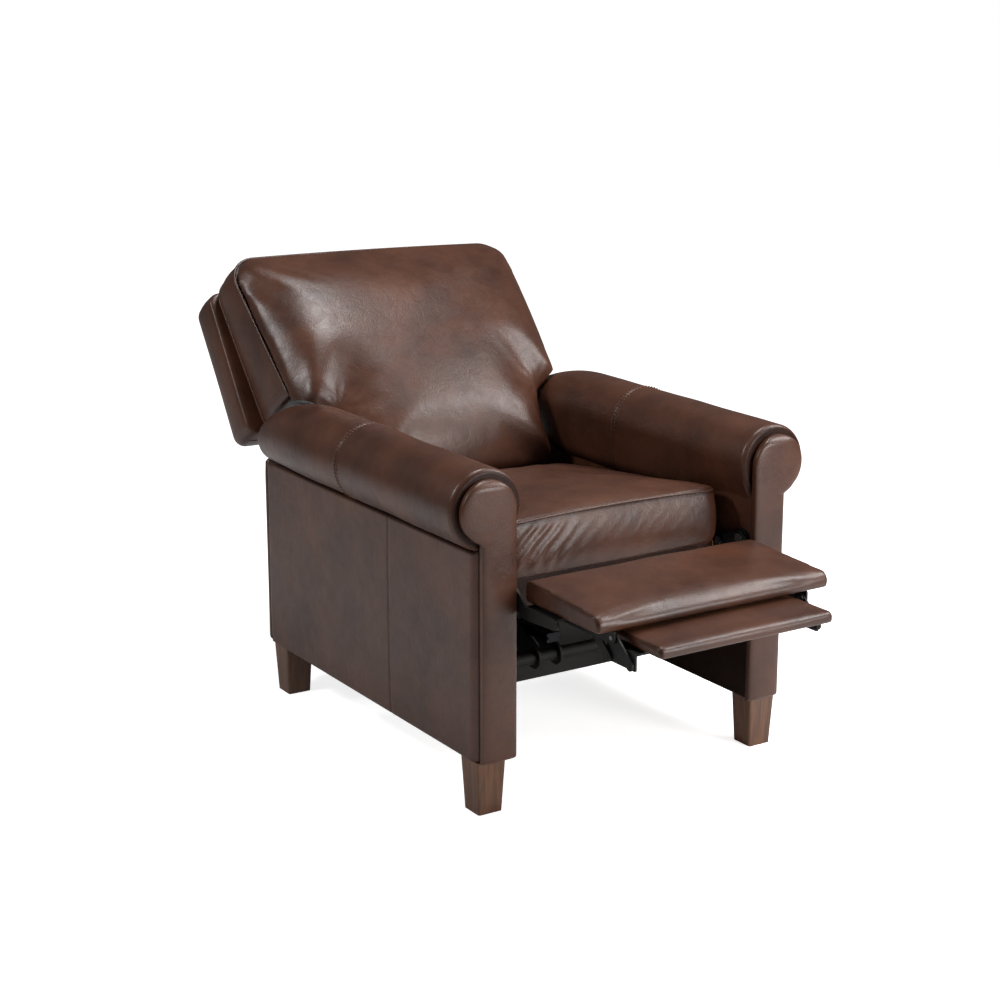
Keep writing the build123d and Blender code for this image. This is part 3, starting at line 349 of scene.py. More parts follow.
LEATHER = PigmentedLeather()
THREAD = Coating("waxed_thread", "#6a4a38", "#7d5a46", 0.55, 0.6)
LEG_WOOD = Timber("stained_rubberwood", "#6b4429", "#50311e", Grain.UP, roughness=0.42, coat=0.25)
SOFTWOOD_ACROSS = Timber("sawn_softwood_across", "#c39a63", "#a97d49", Grain.ACROSS, roughness=0.75)
SOFTWOOD_ALONG = Timber("sawn_softwood_along", "#c39a63", "#a97d49", Grain.ALONG, roughness=0.75)
SOFTWOOD_UP = Timber("sawn_softwood_up", "#c39a63", "#a97d49", Grain.UP, roughness=0.75)
PLYWOOD = Timber("birch_plywood", "#c7a878", "#b4915f", Grain.ACROSS, ring_mm=14.0, roughness=0.7)
BLACK_WOOD = Timber("black_stained_wood", "#16110e", "#0d0a08", Grain.ACROSS, roughness=0.7)
BLACK_STEEL = Coating("black_powder_coat", "#0a0909", "#131211", 0.55, 0.9)
ZINC = Metal("zinc_plate", "#85878c", "#6b6d72", 0.40, 6.0)
ALUMINIUM = Metal("black_anodised_aluminium", "#2c2c2e", "#232325", 0.45, 3.0)
BLACK_PLASTIC = Coating("moulded_abs", "#141416", "#1c1c1f", 0.5, 0.5)
NYLON = Coating("grey_nylon", "#5d5b55", "#504e49", 0.45, 0.8)
BEZEL = Coating("satin_black_abs", "#100f0e", "#171513", 0.32, 0.5)
BUTTON_CAP = Coating("silver_grey_caps", "#8c8c8e", "#7d7d80", 0.35, 0.4)
LINING = LiningCloth()

NODE_FINISHES: dict[Finish, tuple[str, ...]] = {
    LEG_WOOD: ("front_right_leg", "front_left_leg", "rear_right_leg", "rear_left_leg"),
    PLYWOOD: ("arm_frames", "footrest_board", "flipper_board"),
    SOFTWOOD_ACROSS: ("seat_end_rails", "back_rails"),
    SOFTWOOD_ALONG: ("seat_side_rails",),
    SOFTWOOD_UP: ("back_stiles",),
    BLACK_WOOD: ("mid_cross_rail", "rear_cross_rail", "outer_back_spacers"),
    BLACK_STEEL: (
        "right_side_plate", "left_side_plate", "swing_brackets", "push_links", "drive_cranks",
        "front_flipper_links", "rear_flipper_links", "flipper_brackets", "seat_brackets",
        "footrest_drive_tube", "back_drive_tube", "footrest_cam_plates", "back_cam_plates",
        "back_brackets"),
    ZINC: (
        "leg_bolts", "side_plate_bolts", "swing_pivot_pins", "crank_pins", "swing_bracket_pins",
        "rail_clamps", "seat_springs"),
    ALUMINIUM: ("footrest_guide_rail", "back_guide_rail"),
    BLACK_PLASTIC: ("footrest_motor", "back_motor", "footrest_carriage", "back_carriage", "control_box"),
    NYLON: ("tube_bushes",),
    BEZEL: ("switch_bezel",),
    BUTTON_CAP: ("footrest_raise_button", "footrest_lower_button", "back_lean_button", "back_rise_button"),
    LINING: ("back_lower_cover",),
}


# Surfaces


def ease(low: float, high: float, value: Array) -> Array:
    """Smooth step: 0 below low, 1 above high, an s-curve between."""
    share = np.clip((value - low) / (high - low), 0.0, 1.0)
    return share * share * (3.0 - 2.0 * share)


def hump(value: Array, centre: float, width: float) -> Array:
    """Bell curve of height 1 at a centre, falling to about a third at one width."""
    return np.exp(-((value - centre) / width) ** 2)


def quarter_round(share: Array, power: float = 2.0) -> Array:
    """Rounded edge: from 0 it rises steeply along a quarter of an oval to 1 at share 1."""
    return np.sqrt(np.clip(1.0 - (1.0 - np.clip(share, 0.0, 1.0)) ** power, 0.0, 1.0))


def unevenness(points: Array, wavelength: float, seed: int) -> Array:
    """Smooth waviness of stuffed leather.

    Twice the mean of plane sine waves with seeded directions, phases and lengths near one wavelength.

    Args:
        points: Places, last axis xyz.
        wavelength: Typical length of a wave in metres.
        seed: Seed of the waves.

    Returns:
        Values of about -1 to 1 at the places.
    """
    waves = 16
    rng = np.random.default_rng(seed)
    ways = rng.normal(size=(waves, 3))
    ways /= np.linalg.norm(ways, axis=1, keepdims=True)
    lengths = wavelength * rng.uniform(0.7, 1.6, waves)
    phases = rng.uniform(0.0, math.tau, waves)
    return 2.0 * np.sin(points @ (math.tau * ways / lengths[:, None]).T + phases).mean(axis=-1)


def resample(path: Array, count: int, closed: bool) -> Array:
    """Points at equal steps along a polyline.

    Args:
        path: Points of the line, one a row.
        count: How many points to return.
        closed: Whether the last point joins the first.

    Returns:
        The new points, without a repeat of the first on a closed line.
    """
    line = np.vstack([path, path[:1]]) if closed else path
    along = np.concatenate([[0.0], np.cumsum(np.linalg.norm(np.diff(line, axis=0), axis=1))])
    steps = np.linspace(0.0, along[-1], count, endpoint=not closed)
    return np.stack([np.interp(steps, along, line[:, k]) for k in range(line.shape[1])], axis=1)


def rounded_outline(corners: Sequence[tuple[float, float, float]], count: int) -> Array:
    """Closed outline with each corner turned by an arc of its own radius.

    Args:
        corners: Each corner as x, y and radius, in order.
        count: How many points to return.

    Returns:
        Equally spaced points round the outline.
    """
    places = np.array([corner[:2] for corner in corners])
    radii = np.array([corner[2] for corner in corners])
    to_last = np.roll(places, 1, axis=0) - places
    to_next = np.roll(places, -1, axis=0) - places
    to_last /= np.linalg.norm(to_last, axis=1, keepdims=True)
    to_next /= np.linalg.norm(to_next, axis=1, keepdims=True)
    half = np.arccos(np.clip((to_last * to_next).sum(axis=1), -1.0, 1.0)) / 2
    middle = to_last + to_next
    middle /= np.linalg.norm(middle, axis=1, keepdims=True)
    centres = places + middle * (radii / np.sin(half))[:, None]
    starts = places + to_last * (radii / np.tan(half))[:, None] - centres
    ends = places + to_next * (radii / np.tan(half))[:, None] - centres
    arc_points = 13
    share = np.linspace(0.0, 1.0, arc_points)[None, :, None]
    arcs = starts[:, None] * (1 - share) + ends[:, None] * share
    arcs *= radii[:, None, None] / np.linalg.norm(arcs, axis=2, keepdims=True)
    return resample((centres[:, None] + arcs).reshape(-1, 2), count, True)


def oblong(half: float, low: float, high: float, low_corner: float, high_corner: float, count: int) -> Array:
    """Outline of an oblong that lies evenly about the chair's middle, with rounded corners.

    Args:
        half: Half its width.
        low: Where it starts along its length.
        high: Where it ends.
        low_corner: Radius of the two corners at its start.
        high_corner: Radius of the two corners at its end.
        count: How many points to return.

    Returns:
        Equally spaced points round the outline.
    """
    return rounded_outline([
        (-half, low, low_corner), (half, low, low_corner),
        (half, high, high_corner), (-half, high, high_corner)], count)


def drawn_in(line: Array, middle: Array, inset: Array, half: float) -> Array:
    """Copies of an outline, each scaled towards a middle so that a side a half away comes in by an inset.

    Args:
        line: Outline, one point a row.
        middle: Point that the copies shrink to.
        inset: How far each copy comes in.
        half: Distance from the middle to that side.

    Returns:
        One outline for each inset, along the first axis.
    """
    return middle + (1.0 - inset[:, None, None] / half) * (line[None] - middle)


def ring_quads(rings: int, around: int) -> Array:
    """Corner numbers of the quads between neighbouring closed rings."""
    row, column = np.meshgrid(np.arange(rings - 1), np.arange(around), indexing="ij")
    right = (column + 1) % around
    return np.stack([row * around + column, row * around + right, (row + 1) * around + right,
                     (row + 1) * around + column], axis=-1).reshape(-1, 4)


def make_piece(name: str, points: Array, quads: Array) -> bpy.types.Object:
    """Object from points and quads, with doubles merged, faces turned outwards and smooth shading.

    Args:
        name: Name of the piece.
        points: Vertices, one a row.
        quads: Four vertex numbers a row.

    Returns:
        The new object, linked at the origin.
    """
    mesh = bpy.data.meshes.new(name)
    mesh.from_pydata(points.tolist(), [], quads.tolist())
    work = bmesh.new()
    work.from_mesh(mesh)
    bmesh.ops.remove_doubles(work, verts=work.verts, dist=1e-5)
    bmesh.ops.dissolve_degenerate(work, dist=1e-7, edges=work.edges)
    bmesh.ops.recalc_face_normals(work, faces=work.faces)
    work.to_mesh(mesh)
    work.free()
    mesh.polygons.foreach_set("use_smooth", np.ones(len(mesh.polygons), bool))
    made = bpy.data.objects.new(name, mesh)
    bpy.context.scene.collection.objects.link(made)
    return made


def closed_skin(name: str, rings: Array) -> bpy.types.Object:
    """Closed surface through rings of points, each end ring shut by its own middle point."""
    ends = [np.repeat(ring.mean(axis=0, keepdims=True), rings.shape[1], axis=0)[None] for ring in
            (rings[0], rings[-1])]
    full = np.concatenate([ends[0], rings, ends[1]])
    return make_piece(name, full.reshape(-1, 3), ring_quads(full.shape[0], full.shape[1]))


def read_points(piece: bpy.types.Object) -> Array:
    """Vertices of a piece's mesh, one a row."""
    flat = np.empty(len(piece.data.vertices) * 3)
    piece.data.vertices.foreach_get("co", flat)
    return flat.reshape(-1, 3)


def read_normals(piece: bpy.types.Object) -> Array:
    """Vertex normals of a piece's mesh, one a row."""
    flat = np.empty(len(piece.data.vertices) * 3)
    piece.data.vertex_normals.foreach_get("vector", flat)
    return flat.reshape(-1, 3)


def write_points(piece: bpy.types.Object, points: Array) -> None:
    """Put new places into a piece's vertices."""
    piece.data.vertices.foreach_set("co", points.ravel())
    piece.data.update()


def write_painted_shade(piece: bpy.types.Object, values: Array) -> None:
    """Store how dark the painted shade makes the leather at each vertex, 0 open to 1 deep in a seam."""
    layer = piece.data.attributes.get("painted_shade") or piece.data.attributes.new("painted_shade", "FLOAT", "POINT")
    layer.data.foreach_set("value", np.clip(values, 0.0, 1.0).astype(np.float32))


def refine(piece: bpy.types.Object) -> None:
    """Add one level of Subdivision Surface, in view and in render."""
    made = piece.modifiers.new("refine", "SUBSURF")
    made.levels = 1
    made.render_levels = 1


def unit(directions: Array) -> Array:
    """Directions scaled to length 1, one a row."""
    return directions / np.linalg.norm(directions, axis=1, keepdims=True)


def square_to(run: Array, up: Sequence[float]) -> tuple[Array, Array]:
    """Two unit directions square to a path's unit run, the second nearest to up."""
    across = unit(np.cross(run, np.asarray(up, float)))
    return across, np.cross(across, run)


def welt(name: str, path: Array, radius: float, up: Sequence[float], sides: int = 10) -> bpy.types.Object:
    """Piped edge: a circle carried along a closed path, square to its run.

    Args:
        name: Name of the piece.
        path: Points along the middle of the piping.
        radius: Radius of the piping.
        up: Direction that is never along the path, to keep the circles from twisting.
        sides: Points round the circle.

    Returns:
        The piping, joined up with itself.
    """
    run = unit(np.roll(path, -1, axis=0) - np.roll(path, 1, axis=0))
    across, over = square_to(run, up)
    turn = np.linspace(0.0, math.tau, sides, endpoint=False)[None, :, None]
    rings = path[:, None] + radius * (np.cos(turn) * across[:, None] + np.sin(turn) * over[:, None])
    full = np.concatenate([rings, rings[:1]])
    return make_piece(name, full.reshape(-1, 3), ring_quads(full.shape[0], sides))


def stitches(name: str, path: Array, up: Sequence[float], pitch: float = 0.0075, length: float = 0.0050,
             radius: float = 0.0009) -> bpy.types.Object:
    """Row of thread stitches along a path: one small spindle repeated at a pitch.

    Args:
        name: Name of the piece.
        path: Points along the seam.
        up: Direction that is never along the seam.
        pitch: Distance between stitches.
        length: Length of one stitch.
        radius: Half the thread's thickness.

    Returns:
        One mesh with all the stitches.
    """
    rings, sides = 5, 6
    span = np.linalg.norm(np.diff(path, axis=0), axis=1).sum()
    count = max(2, int(span / pitch))
    places = resample(path, 2 * count + 1, False)[1::2]
    run = unit(np.gradient(places, axis=0))
    across, over = square_to(run, up)
    share = np.linspace(-1.0, 1.0, rings)
    turn = np.linspace(0.0, math.tau, sides, endpoint=False)
    girth = radius * np.sqrt(np.clip(1.0 - share ** 4, 0.0, 1.0))
    shape = (places[:, None, None] + (length / 2 * share)[None, :, None, None] * run[:, None, None]
             + (girth[:, None] * np.cos(turn))[None, :, :, None] * across[:, None, None]
             + (girth[:, None] * np.sin(turn))[None, :, :, None] * over[:, None, None])
    first = rings * sides * np.arange(count)
    quads = (ring_quads(rings, sides)[None] + first[:, None, None]).reshape(-1, 4)
    return make_piece(name, shape.reshape(-1, 3), quads)


@dataclass(frozen=True)
class LocalFrame:
    """Local axes of a leaning piece: across the chair, along the piece, and out of it."""

    origin: tuple[float, float, float]
    along: tuple[float, float, float]
    out: tuple[float, float, float]

    def place(self, local: Array) -> Array:
        """Local across, along and out to the row frame."""
        return (np.asarray(self.origin) + local[..., :1] * np.array([1.0, 0.0, 0.0])
                + local[..., 1:2] * np.asarray(self.along) + local[..., 2:3] * np.asarray(self.out))

    def read(self, points: Array) -> Array:
        """Places in the row frame to local across, along and out."""
        rel = points - np.asarray(self.origin)
        return np.stack([rel[..., 0], rel @ np.asarray(self.along), rel @ np.asarray(self.out)], axis=-1)

    def skin(self, name: str, flat: Array, out: Array) -> bpy.types.Object:
        """Closed surface through outlines in the frame, each point moved out by a height of its own."""
        return closed_skin(name, self.place(np.concatenate([flat, out[..., None]], axis=-1)))


def leaning(depth: float, height: float, degrees: float) -> LocalFrame:
    """Frame of a back that leans from upright by an angle, on a pivot at a depth and height."""
    lean = math.radians(degrees)
    return LocalFrame((0.0, FACE_Y + depth, height), (0.0, math.sin(lean), math.cos(lean)),
                      (0.0, -math.cos(lean), math.sin(lean)))


def falling(depth: float, height: float, degrees: float) -> LocalFrame:
    """Frame of a seat that falls to the rear by an angle, from a front edge at a depth and height."""
    fall = math.radians(degrees)
    return LocalFrame((0.0, FACE_Y + depth, height), (0.0, math.cos(fall), -math.sin(fall)),
                      (0.0, math.sin(fall), math.cos(fall)))


# Stuffing


LEATHER_CLOTH: dict[str, Any] = {
    "quality": 4,
    "mass": 0.4,
    "tension_stiffness": 18.0,
    "compression_stiffness": 18.0,
    "shear_stiffness": 8.0,
    "bending_stiffness": 1.5,
    "use_pressure": True,
}


@dataclass(frozen=True)
class Stuffing:
    """How a pad is blown up: remesh size, pressure, furthest swell, cloth frames and calming passes."""

    voxel: float = 0.006
    pressure: float = 4.0
    cap: float = 0.024
    frames: int = 20
    passes: int = 0

    def swell(self, piece: bpy.types.Object, held: PointRule) -> None:
        """Remesh a pad evenly, blow it up as cloth held at its seams, limit the swell and smooth it.

        Args:
            piece: Pad whose mesh is replaced by the swollen one.
            held: Tells for each vertex whether it is held fast.
        """
        remesh = piece.modifiers.new("even", "REMESH")
        remesh.mode = "VOXEL"
        remesh.voxel_size = self.voxel
        self.bake(piece)
        start = read_points(piece)
        fast = np.flatnonzero(held(start)).tolist()
        piece.vertex_groups.new(name="held").add(fast, 1.0, "REPLACE")
        cloth = piece.modifiers.new("stuffing", "CLOTH")
        rules = cloth.settings
        for key, value in LEATHER_CLOTH.items():
            setattr(rules, key, value)
        rules.uniform_pressure_force = self.pressure
        rules.vertex_group_mass = "held"
        rules.effector_weights.gravity = 0.0
        cloth.point_cache.frame_start = 1
        cloth.point_cache.frame_end = self.frames
        for step in range(1, self.frames + 1):
            bpy.context.scene.frame_set(step)
        self.bake(piece)
        bpy.context.scene.frame_set(1)
        moved = read_points(piece) - start
        reach = np.linalg.norm(moved, axis=1, keepdims=True)
        write_points(piece, start + moved * self.cap * np.tanh(reach / self.cap) / np.maximum(reach, 1e-9))
        piece.vertex_groups.clear()
        piece.vertex_groups.new(name="held").add(fast, 1.0, "REPLACE")
        calm = piece.modifiers.new("calm", "SMOOTH")
        calm.factor = 0.5
        calm.iterations = self.passes
        calm.vertex_group = "held"
        calm.invert_vertex_group = True
        self.bake(piece)
        piece.vertex_groups.clear()

    @staticmethod
    def bake(piece: bpy.types.Object) -> None:
        """Replace a piece's mesh by its evaluated one and drop its modifiers."""
        graph = bpy.context.evaluated_depsgraph_get()
        mesh = bpy.data.meshes.new_from_object(piece.evaluated_get(graph))
        piece.modifiers.clear()
        old = piece.data
        piece.data = mesh
        bpy.data.meshes.remove(old)
        mesh.name = piece.name
        mesh.polygons.foreach_set("use_smooth", np.ones(len(mesh.polygons), bool))


def settle(piece: bpy.types.Object, body: str, finish: Finish, replaced: Iterable[str] = ()) -> None:
    """Dress a finished piece, ride it on its body and hide the frame's solids that it stands for.

    Args:
        piece: The finished piece.
        body: Body of the frame that it moves with.
        finish: Its surface finish.
        replaced: Solids of the frame that it stands for.
    """
    finish.dress(piece)
    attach(piece, body)
    if replaced:
        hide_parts(*replaced)
    log.info("%s: %d vertices on %s", piece.name, len(piece.data.vertices), body)


# Sub-assemblies


@dataclass
class RolledArm:
    """One arm: a padded roll over a flat upholstered panel, and a keyhole panel on its front."""

    side: Side
    inner: float = 0.2725
    outer: float = 0.348
    bottom: float = 0.103
    roll_x: float = 0.322
    roll_height: float = 0.570
    roll_radius: float = 0.0745
    level_depth: float = 0.600
    drop_radius: float = 0.480
    face_depth: float = 0.018
    rear_depth: float = 0.830
    roll_end: float = 0.866
    dome: float = 0.058
    lip: float = 0.010
    wave: float = 0.0012
    wave_length: float = 0.16
    wave_seed: int = 3
    wave_start: tuple[float, float] = (0.03, 0.1)
    wave_girth: float = 0.05
    pad_drop: float = 0.100
    pad_drop_front: float = 0.085
    pad_tuck: float = 0.026
    pad_square: float = 0.35
    pad_under: float = 0.35
    pad_start: tuple[float, float] = (0.10, 0.24)
    pad_end: tuple[float, float] = (0.66, 0.80)
    seam_depth: float = 0.435
    seam_rise: float = 0.0012
    seam_rise_width: float = 0.007
    seam_pinch: float = 0.0022
    seam_pinch_width: float = 0.0018
    seam_zone: float = 0.012
    # Strengths of the painted shade in the seam, at the front edge and low beside the seat.
    seam_shade_strength: float = 0.35
    front_shade: float = 0.002
    front_shade_strength: float = 0.7
    seat_shade: tuple[float, float] = (0.505, 0.480)
    seat_shade_strength: float = 0.6
    stitch_offset: float = 0.0045
    stitch_span: tuple[float, float] = (-58.0, 188.0)
    panel_corners: tuple[float, float, float] = (0.006, 0.015, 0.008)
    panel_crown: float = 0.0022
    panel_wave: float = 0.0010
    panel_wave_length: float = 0.22
    panel_wave_seed: int = 11
    panel_flat: float = 0.06
    panel_half: float = 0.038
    panel_outside: tuple[float, float] = (0.030, 0.0375)
    panel_seam_depth: float = 0.32
    panel_seam: float = 0.0016
    panel_seam_width: float = 0.0022
    panel_seam_shade: float = 0.0025
    panel_seam_shade_strength: float = 0.4
    hem: float = 0.004
    hem_height: float = 0.006
    tuck_height: float = 0.4995
    tuck: float = 0.005
    tuck_width: float = 0.0045
    tuck_shade: float = 0.0055
    switch: tuple[float, float] = (0.250, 0.400)
    switch_clear: tuple[float, float] = (0.075, 0.05)
    keyhole_x: float = 0.3245
    keyhole_radius: float = 0.0570
    keyhole_square: float = 0.42
    keyhole_crown: float = 0.20
    keyhole_edge: float = 0.020
    post_inset: float = 0.012
    foot: float = 0.008
    neck: float = 0.034
    neck_span: tuple[float, float] = (0.02, 0.05)
    post_start: float = 0.045
    keyhole_shade: tuple[float, float] = (0.008, 0.018)
    keyhole_shade_strength: float = 0.6

    def drawn_down(self, depth: Array) -> Array:
        """How far the roll's top has fallen: none to the bend, then along an arc."""
        past = np.clip(depth - self.level_depth, 0.0, None)
        return self.drop_radius - np.sqrt(self.drop_radius ** 2 - past ** 2)

    def roll_girth(self, depth: Array) -> Array:
        """Radius along the roll: a rounded front edge, a raised sewn seam, a taper and a domed end."""
        body = (self.roll_radius - self.drawn_down(depth) / 2
                + self.seam_rise * hump(depth, self.seam_depth, self.seam_rise_width)
                - self.seam_pinch * hump(depth, self.seam_depth, self.seam_pinch_width))
        front = self.lip * (1.0 - quarter_round((depth - self.face_depth) / self.lip))
        return (body - front) * quarter_round((self.roll_end - depth) / self.dome, 2.2)

    def roll_section(self, depth: Array, girth: Array, turn: Array) -> tuple[Array, Array]:
        """Section of the roll: a circle, its inner lower quarter squared off into the seat's side padding.

        Args:
            depth: Depth of each section.
            girth: Radius at each section and angle.
            turn: Angle of each point, from outside, over the top.

        Returns:
            Offsets across and up from the roll's middle.
        """
        bare = ease(*self.pad_end, depth)[:, None]
        beside = ease(*self.pad_start, depth)[:, None]
        square = self.pad_square + (1.0 - self.pad_square) * bare
        drop = self.pad_drop_front + (self.pad_drop - self.pad_drop_front) * beside
        drop = girth * (bare + (1.0 - bare) * drop / self.roll_radius)
        side, rise = np.cos(turn), np.sin(turn)
        inside = (side < 0) & (rise < 0)
        down = np.where(inside, np.abs(rise), 0.0) ** square
        tucked = girth - self.pad_tuck * (1.0 - beside) * ease(0.0, 1.0, down)
        under = np.where(rise < 0, ease(self.pad_under, 0.0, side), 0.0)
        across = np.where(inside, -tucked * np.abs(side) ** square, girth * side)
        lift = np.where(inside, -drop * down, (girth + (drop - girth) * under) * rise)
        return across, lift

    def build_roll(self) -> None:
        """The roll: sections square to the path, with the girth along it and slow unevenness over it."""
        depth = np.unique(np.concatenate([
            self.face_depth + self.lip * (1.0 - np.cos(np.linspace(0.0, math.pi / 2, 22))),
            np.linspace(self.face_depth + self.lip, self.roll_end - self.dome, 190),
            np.linspace(self.seam_depth - self.seam_zone, self.seam_depth + self.seam_zone, 25),
            self.roll_end - self.dome * (1.0 - np.sin(np.linspace(0.0, math.pi / 2, 30))),
        ]))
        turn = np.linspace(0.0, math.tau, 120, endpoint=False)
        girth = self.roll_girth(depth)[:, None] * np.ones_like(turn)
        drum_radius = 0.1
        drum = np.stack(np.broadcast_arrays(
            drum_radius * np.cos(turn), depth[:, None], drum_radius * np.sin(turn)), axis=-1)
        near, far = self.wave_start
        away = ease(self.face_depth + near, self.face_depth + far, depth)[:, None]
        waves = unevenness(drum, self.wave_length, self.wave_seed + self.side.value)
        girth = girth + self.wave * waves * away * ease(0.0, self.wave_girth, girth)
        across, lift = self.roll_section(depth, girth, turn)
        rings = np.stack(np.broadcast_arrays(
            self.side.value * (self.roll_x + across),
            FACE_Y + depth[:, None],
            (self.roll_height - self.drawn_down(depth) / 2)[:, None] + lift), axis=-1)
        piece = closed_skin(f"{self.side.word}_arm_roll", rings)
        at = read_points(piece)
        back = at[:, 1] - FACE_Y
        # Painted shade in the seam's groove, at the front edge beside the keyhole and low on the inner side
        # beside the seat.
        beside_seat = ease(*self.seat_shade, at[:, 2]) * (np.abs(at[:, 0]) < self.inner)
        write_painted_shade(piece, self.seam_shade_strength * hump(back, self.seam_depth, self.seam_pinch_width)
                     + self.front_shade_strength * hump(back, self.face_depth, self.front_shade)
                     + self.seat_shade_strength * beside_seat)
        settle(piece, "base", LEATHER, [f"{self.side.word}_arm"])

    def build_stitches(self) -> None:
        """Two rows of stitches, one on each side of the roll's seam, along a circle round the roll."""
        turn = np.linspace(*np.radians(self.stitch_span), 140)
        reach = self.roll_radius + self.seam_rise
        for name, shift in (("front", -self.stitch_offset), ("rear", self.stitch_offset)):
            line = np.stack([
                self.side.value * (self.roll_x + reach * np.cos(turn)),
                np.full_like(turn, FACE_Y + self.seam_depth + shift),
                self.roll_height + reach * np.sin(turn)], axis=1)
            row = stitches(f"{self.side.word}_roll_stitches_{name}", line, (0.0, 1.0, 0.0))
            settle(row, "base", THREAD)

    def panel_top(self, depth: Array) -> Array:
        """Top of the panel, inside the roll, falling away at the rear edge."""
        bend_end, fall_start, fall, below_middle = 0.80, 0.795, 0.045, 0.012
        middle = self.roll_height - self.drawn_down(np.minimum(depth, bend_end)) / 2
        return middle - below_middle - fall * ease(fall_start, self.rear_depth, depth)

    def build_panel(self) -> None:
        """The panel: a rounded oblong in plan drawn up from the floor line to the roll, crowned outside."""
        front, rear = self.face_depth, self.rear_depth
        inside, outside_front, outside_rear = self.panel_corners
        plan = rounded_outline([
            (self.inner, front, inside), (self.outer, front, outside_front),
            (self.outer, rear, outside_rear), (self.inner, rear, inside)], 480)
        share = np.unique(np.concatenate([
            np.linspace(0.0, 0.03, 8), np.linspace(0.03, 1.0, 70), np.linspace(0.84, 0.90, 24)]))
        depth = np.broadcast_to(plan[:, 1], (share.size, plan.shape[0]))
        height = self.bottom + share[:, None] * (self.panel_top(depth) - self.bottom)
        hem = self.hem * (1.0 - quarter_round((height - self.bottom) / self.hem_height))
        middle = (self.inner + self.outer) / 2
        half = plan[:, 0] - middle
        across = middle + half * (1.0 - hem / self.panel_half)
        outside = ease(*self.panel_outside, half)
        clear = 1.0 - (hump(depth, self.switch[0], self.switch_clear[0])
                       * hump(height, self.switch[1], self.switch_clear[1]) * (self.side is Side.LEFT))
        swell = self.panel_crown * np.sin(math.pi * np.clip((depth - front) / (rear - front), 0, 1)) ** 0.5
        swell = swell + self.panel_wave * unevenness(
            np.stack([depth * 0, depth, height], axis=-1), self.panel_wave_length,
            self.panel_wave_seed + self.side.value)
        swell = swell * ease(self.bottom, self.bottom + self.panel_flat, height) * clear
        seam = self.panel_seam * hump(depth, self.panel_seam_depth, self.panel_seam_width)
        tuck = self.tuck * hump(height, self.tuck_height, self.tuck_width)
        across = across + outside * (swell - seam - tuck)
        rings = np.stack([self.side.value * across, FACE_Y + depth, height], axis=-1)
        piece = closed_skin(f"{self.side.word}_arm_panel", rings)
        at = read_points(piece)
        from_middle = np.abs(at[:, 0])
        # Painted shade in the panel's seam, in the tuck under the roll, and on the inner face low down beside
        # the seat.
        seam_from, tuck_from, skin, inside_shade, inside_shade_strength = 0.34, 0.33, 0.004, (0.46, 0.40), 0.9
        seamed = hump(at[:, 1] - FACE_Y, self.panel_seam_depth, self.panel_seam_shade)
        tucked = hump(at[:, 2], self.tuck_height, self.tuck_shade) * (from_middle > tuck_from)
        hidden = (from_middle < self.inner + skin) * ease(*inside_shade, at[:, 2])
        write_painted_shade(piece, self.panel_seam_shade_strength * seamed * (from_middle > seam_from) + tucked
                     + inside_shade_strength * hidden)
        settle(piece, "base", LEATHER)

    def keyhole_edges(self, height: Array) -> tuple[Array, Array]:
        """Inner and outer edge of the keyhole: a disc on a post, straight inside and necked outside."""
        up = height - self.roll_height
        disc = np.sqrt(np.clip(self.keyhole_radius ** 2 - up ** 2, 0.0, None))
        post = self.outer - self.post_inset - self.keyhole_x
        mix = np.clip(0.5 + (disc - post) / (2 * self.neck), 0.0, 1.0)
        blend = self.neck * mix * (1 - mix) * ease(*self.neck_span, -up)
        necked = post * (1 - mix) + disc * mix + blend
        outer = np.where(up > 0, disc, disc + (necked - disc) * ease(0.0, self.post_start, -up))
        inner = np.where(up > 0, disc, self.keyhole_radius)
        return self.keyhole_x - inner, self.keyhole_x + outer

    def build_keyhole(self) -> None:
        """The front panel: flattened ovals stacked from floor line to the disc's crown, thin at both ends."""
        crown = self.roll_height + self.keyhole_radius
        height = np.unique(np.concatenate([
            self.bottom + self.foot * (1 - np.cos(np.linspace(0.0, math.pi / 2, 10))),
            np.linspace(self.bottom + self.foot, self.roll_height, 150),
            self.roll_height + self.keyhole_radius * np.sin(np.linspace(0.0, math.pi / 2, 70))]))
        inner, outer = self.keyhole_edges(height)
        middle, half = (inner + outer) / 2, (outer - inner) / 2
        thick = self.face_depth * quarter_round((crown - height) / self.keyhole_edge, 2.2)
        least, rest = 0.55, 0.45
        thick *= least + rest * quarter_round((height - self.bottom) / self.foot)
        turn = np.linspace(0.0, math.tau, 96, endpoint=False)
        wide = np.sign(np.cos(turn)) * np.abs(np.cos(turn)) ** self.keyhole_square
        deep = np.sign(np.sin(turn)) * np.abs(np.sin(turn)) ** self.keyhole_square
        crowned = 1.0 + self.keyhole_crown * (1.0 - wide ** 2) * (deep > 0)
        out = (thick[:, None] / 2) * (1.0 + deep * crowned)
        rings = np.stack(np.broadcast_arrays(
            self.side.value * (middle[:, None] + half[:, None] * wide),
            FACE_Y + self.face_depth - out,
            height[:, None]), axis=-1)
        piece = closed_skin(f"{self.side.word}_arm_keyhole", rings)
        back = read_points(piece)[:, 1] - FACE_Y
        # Painted shade on the keyhole's rear, in the groove where it meets the roll.
        write_painted_shade(piece, self.keyhole_shade_strength * ease(*self.keyhole_shade, back))
        settle(piece, "base", LEATHER, [f"{self.side.word}_arm_front"])

    def build(self) -> None:
        """Make the roll with its stitches, the panel and the keyhole front."""
        self.build_roll()
        self.build_stitches()
        self.build_panel()
        self.build_keyhole()


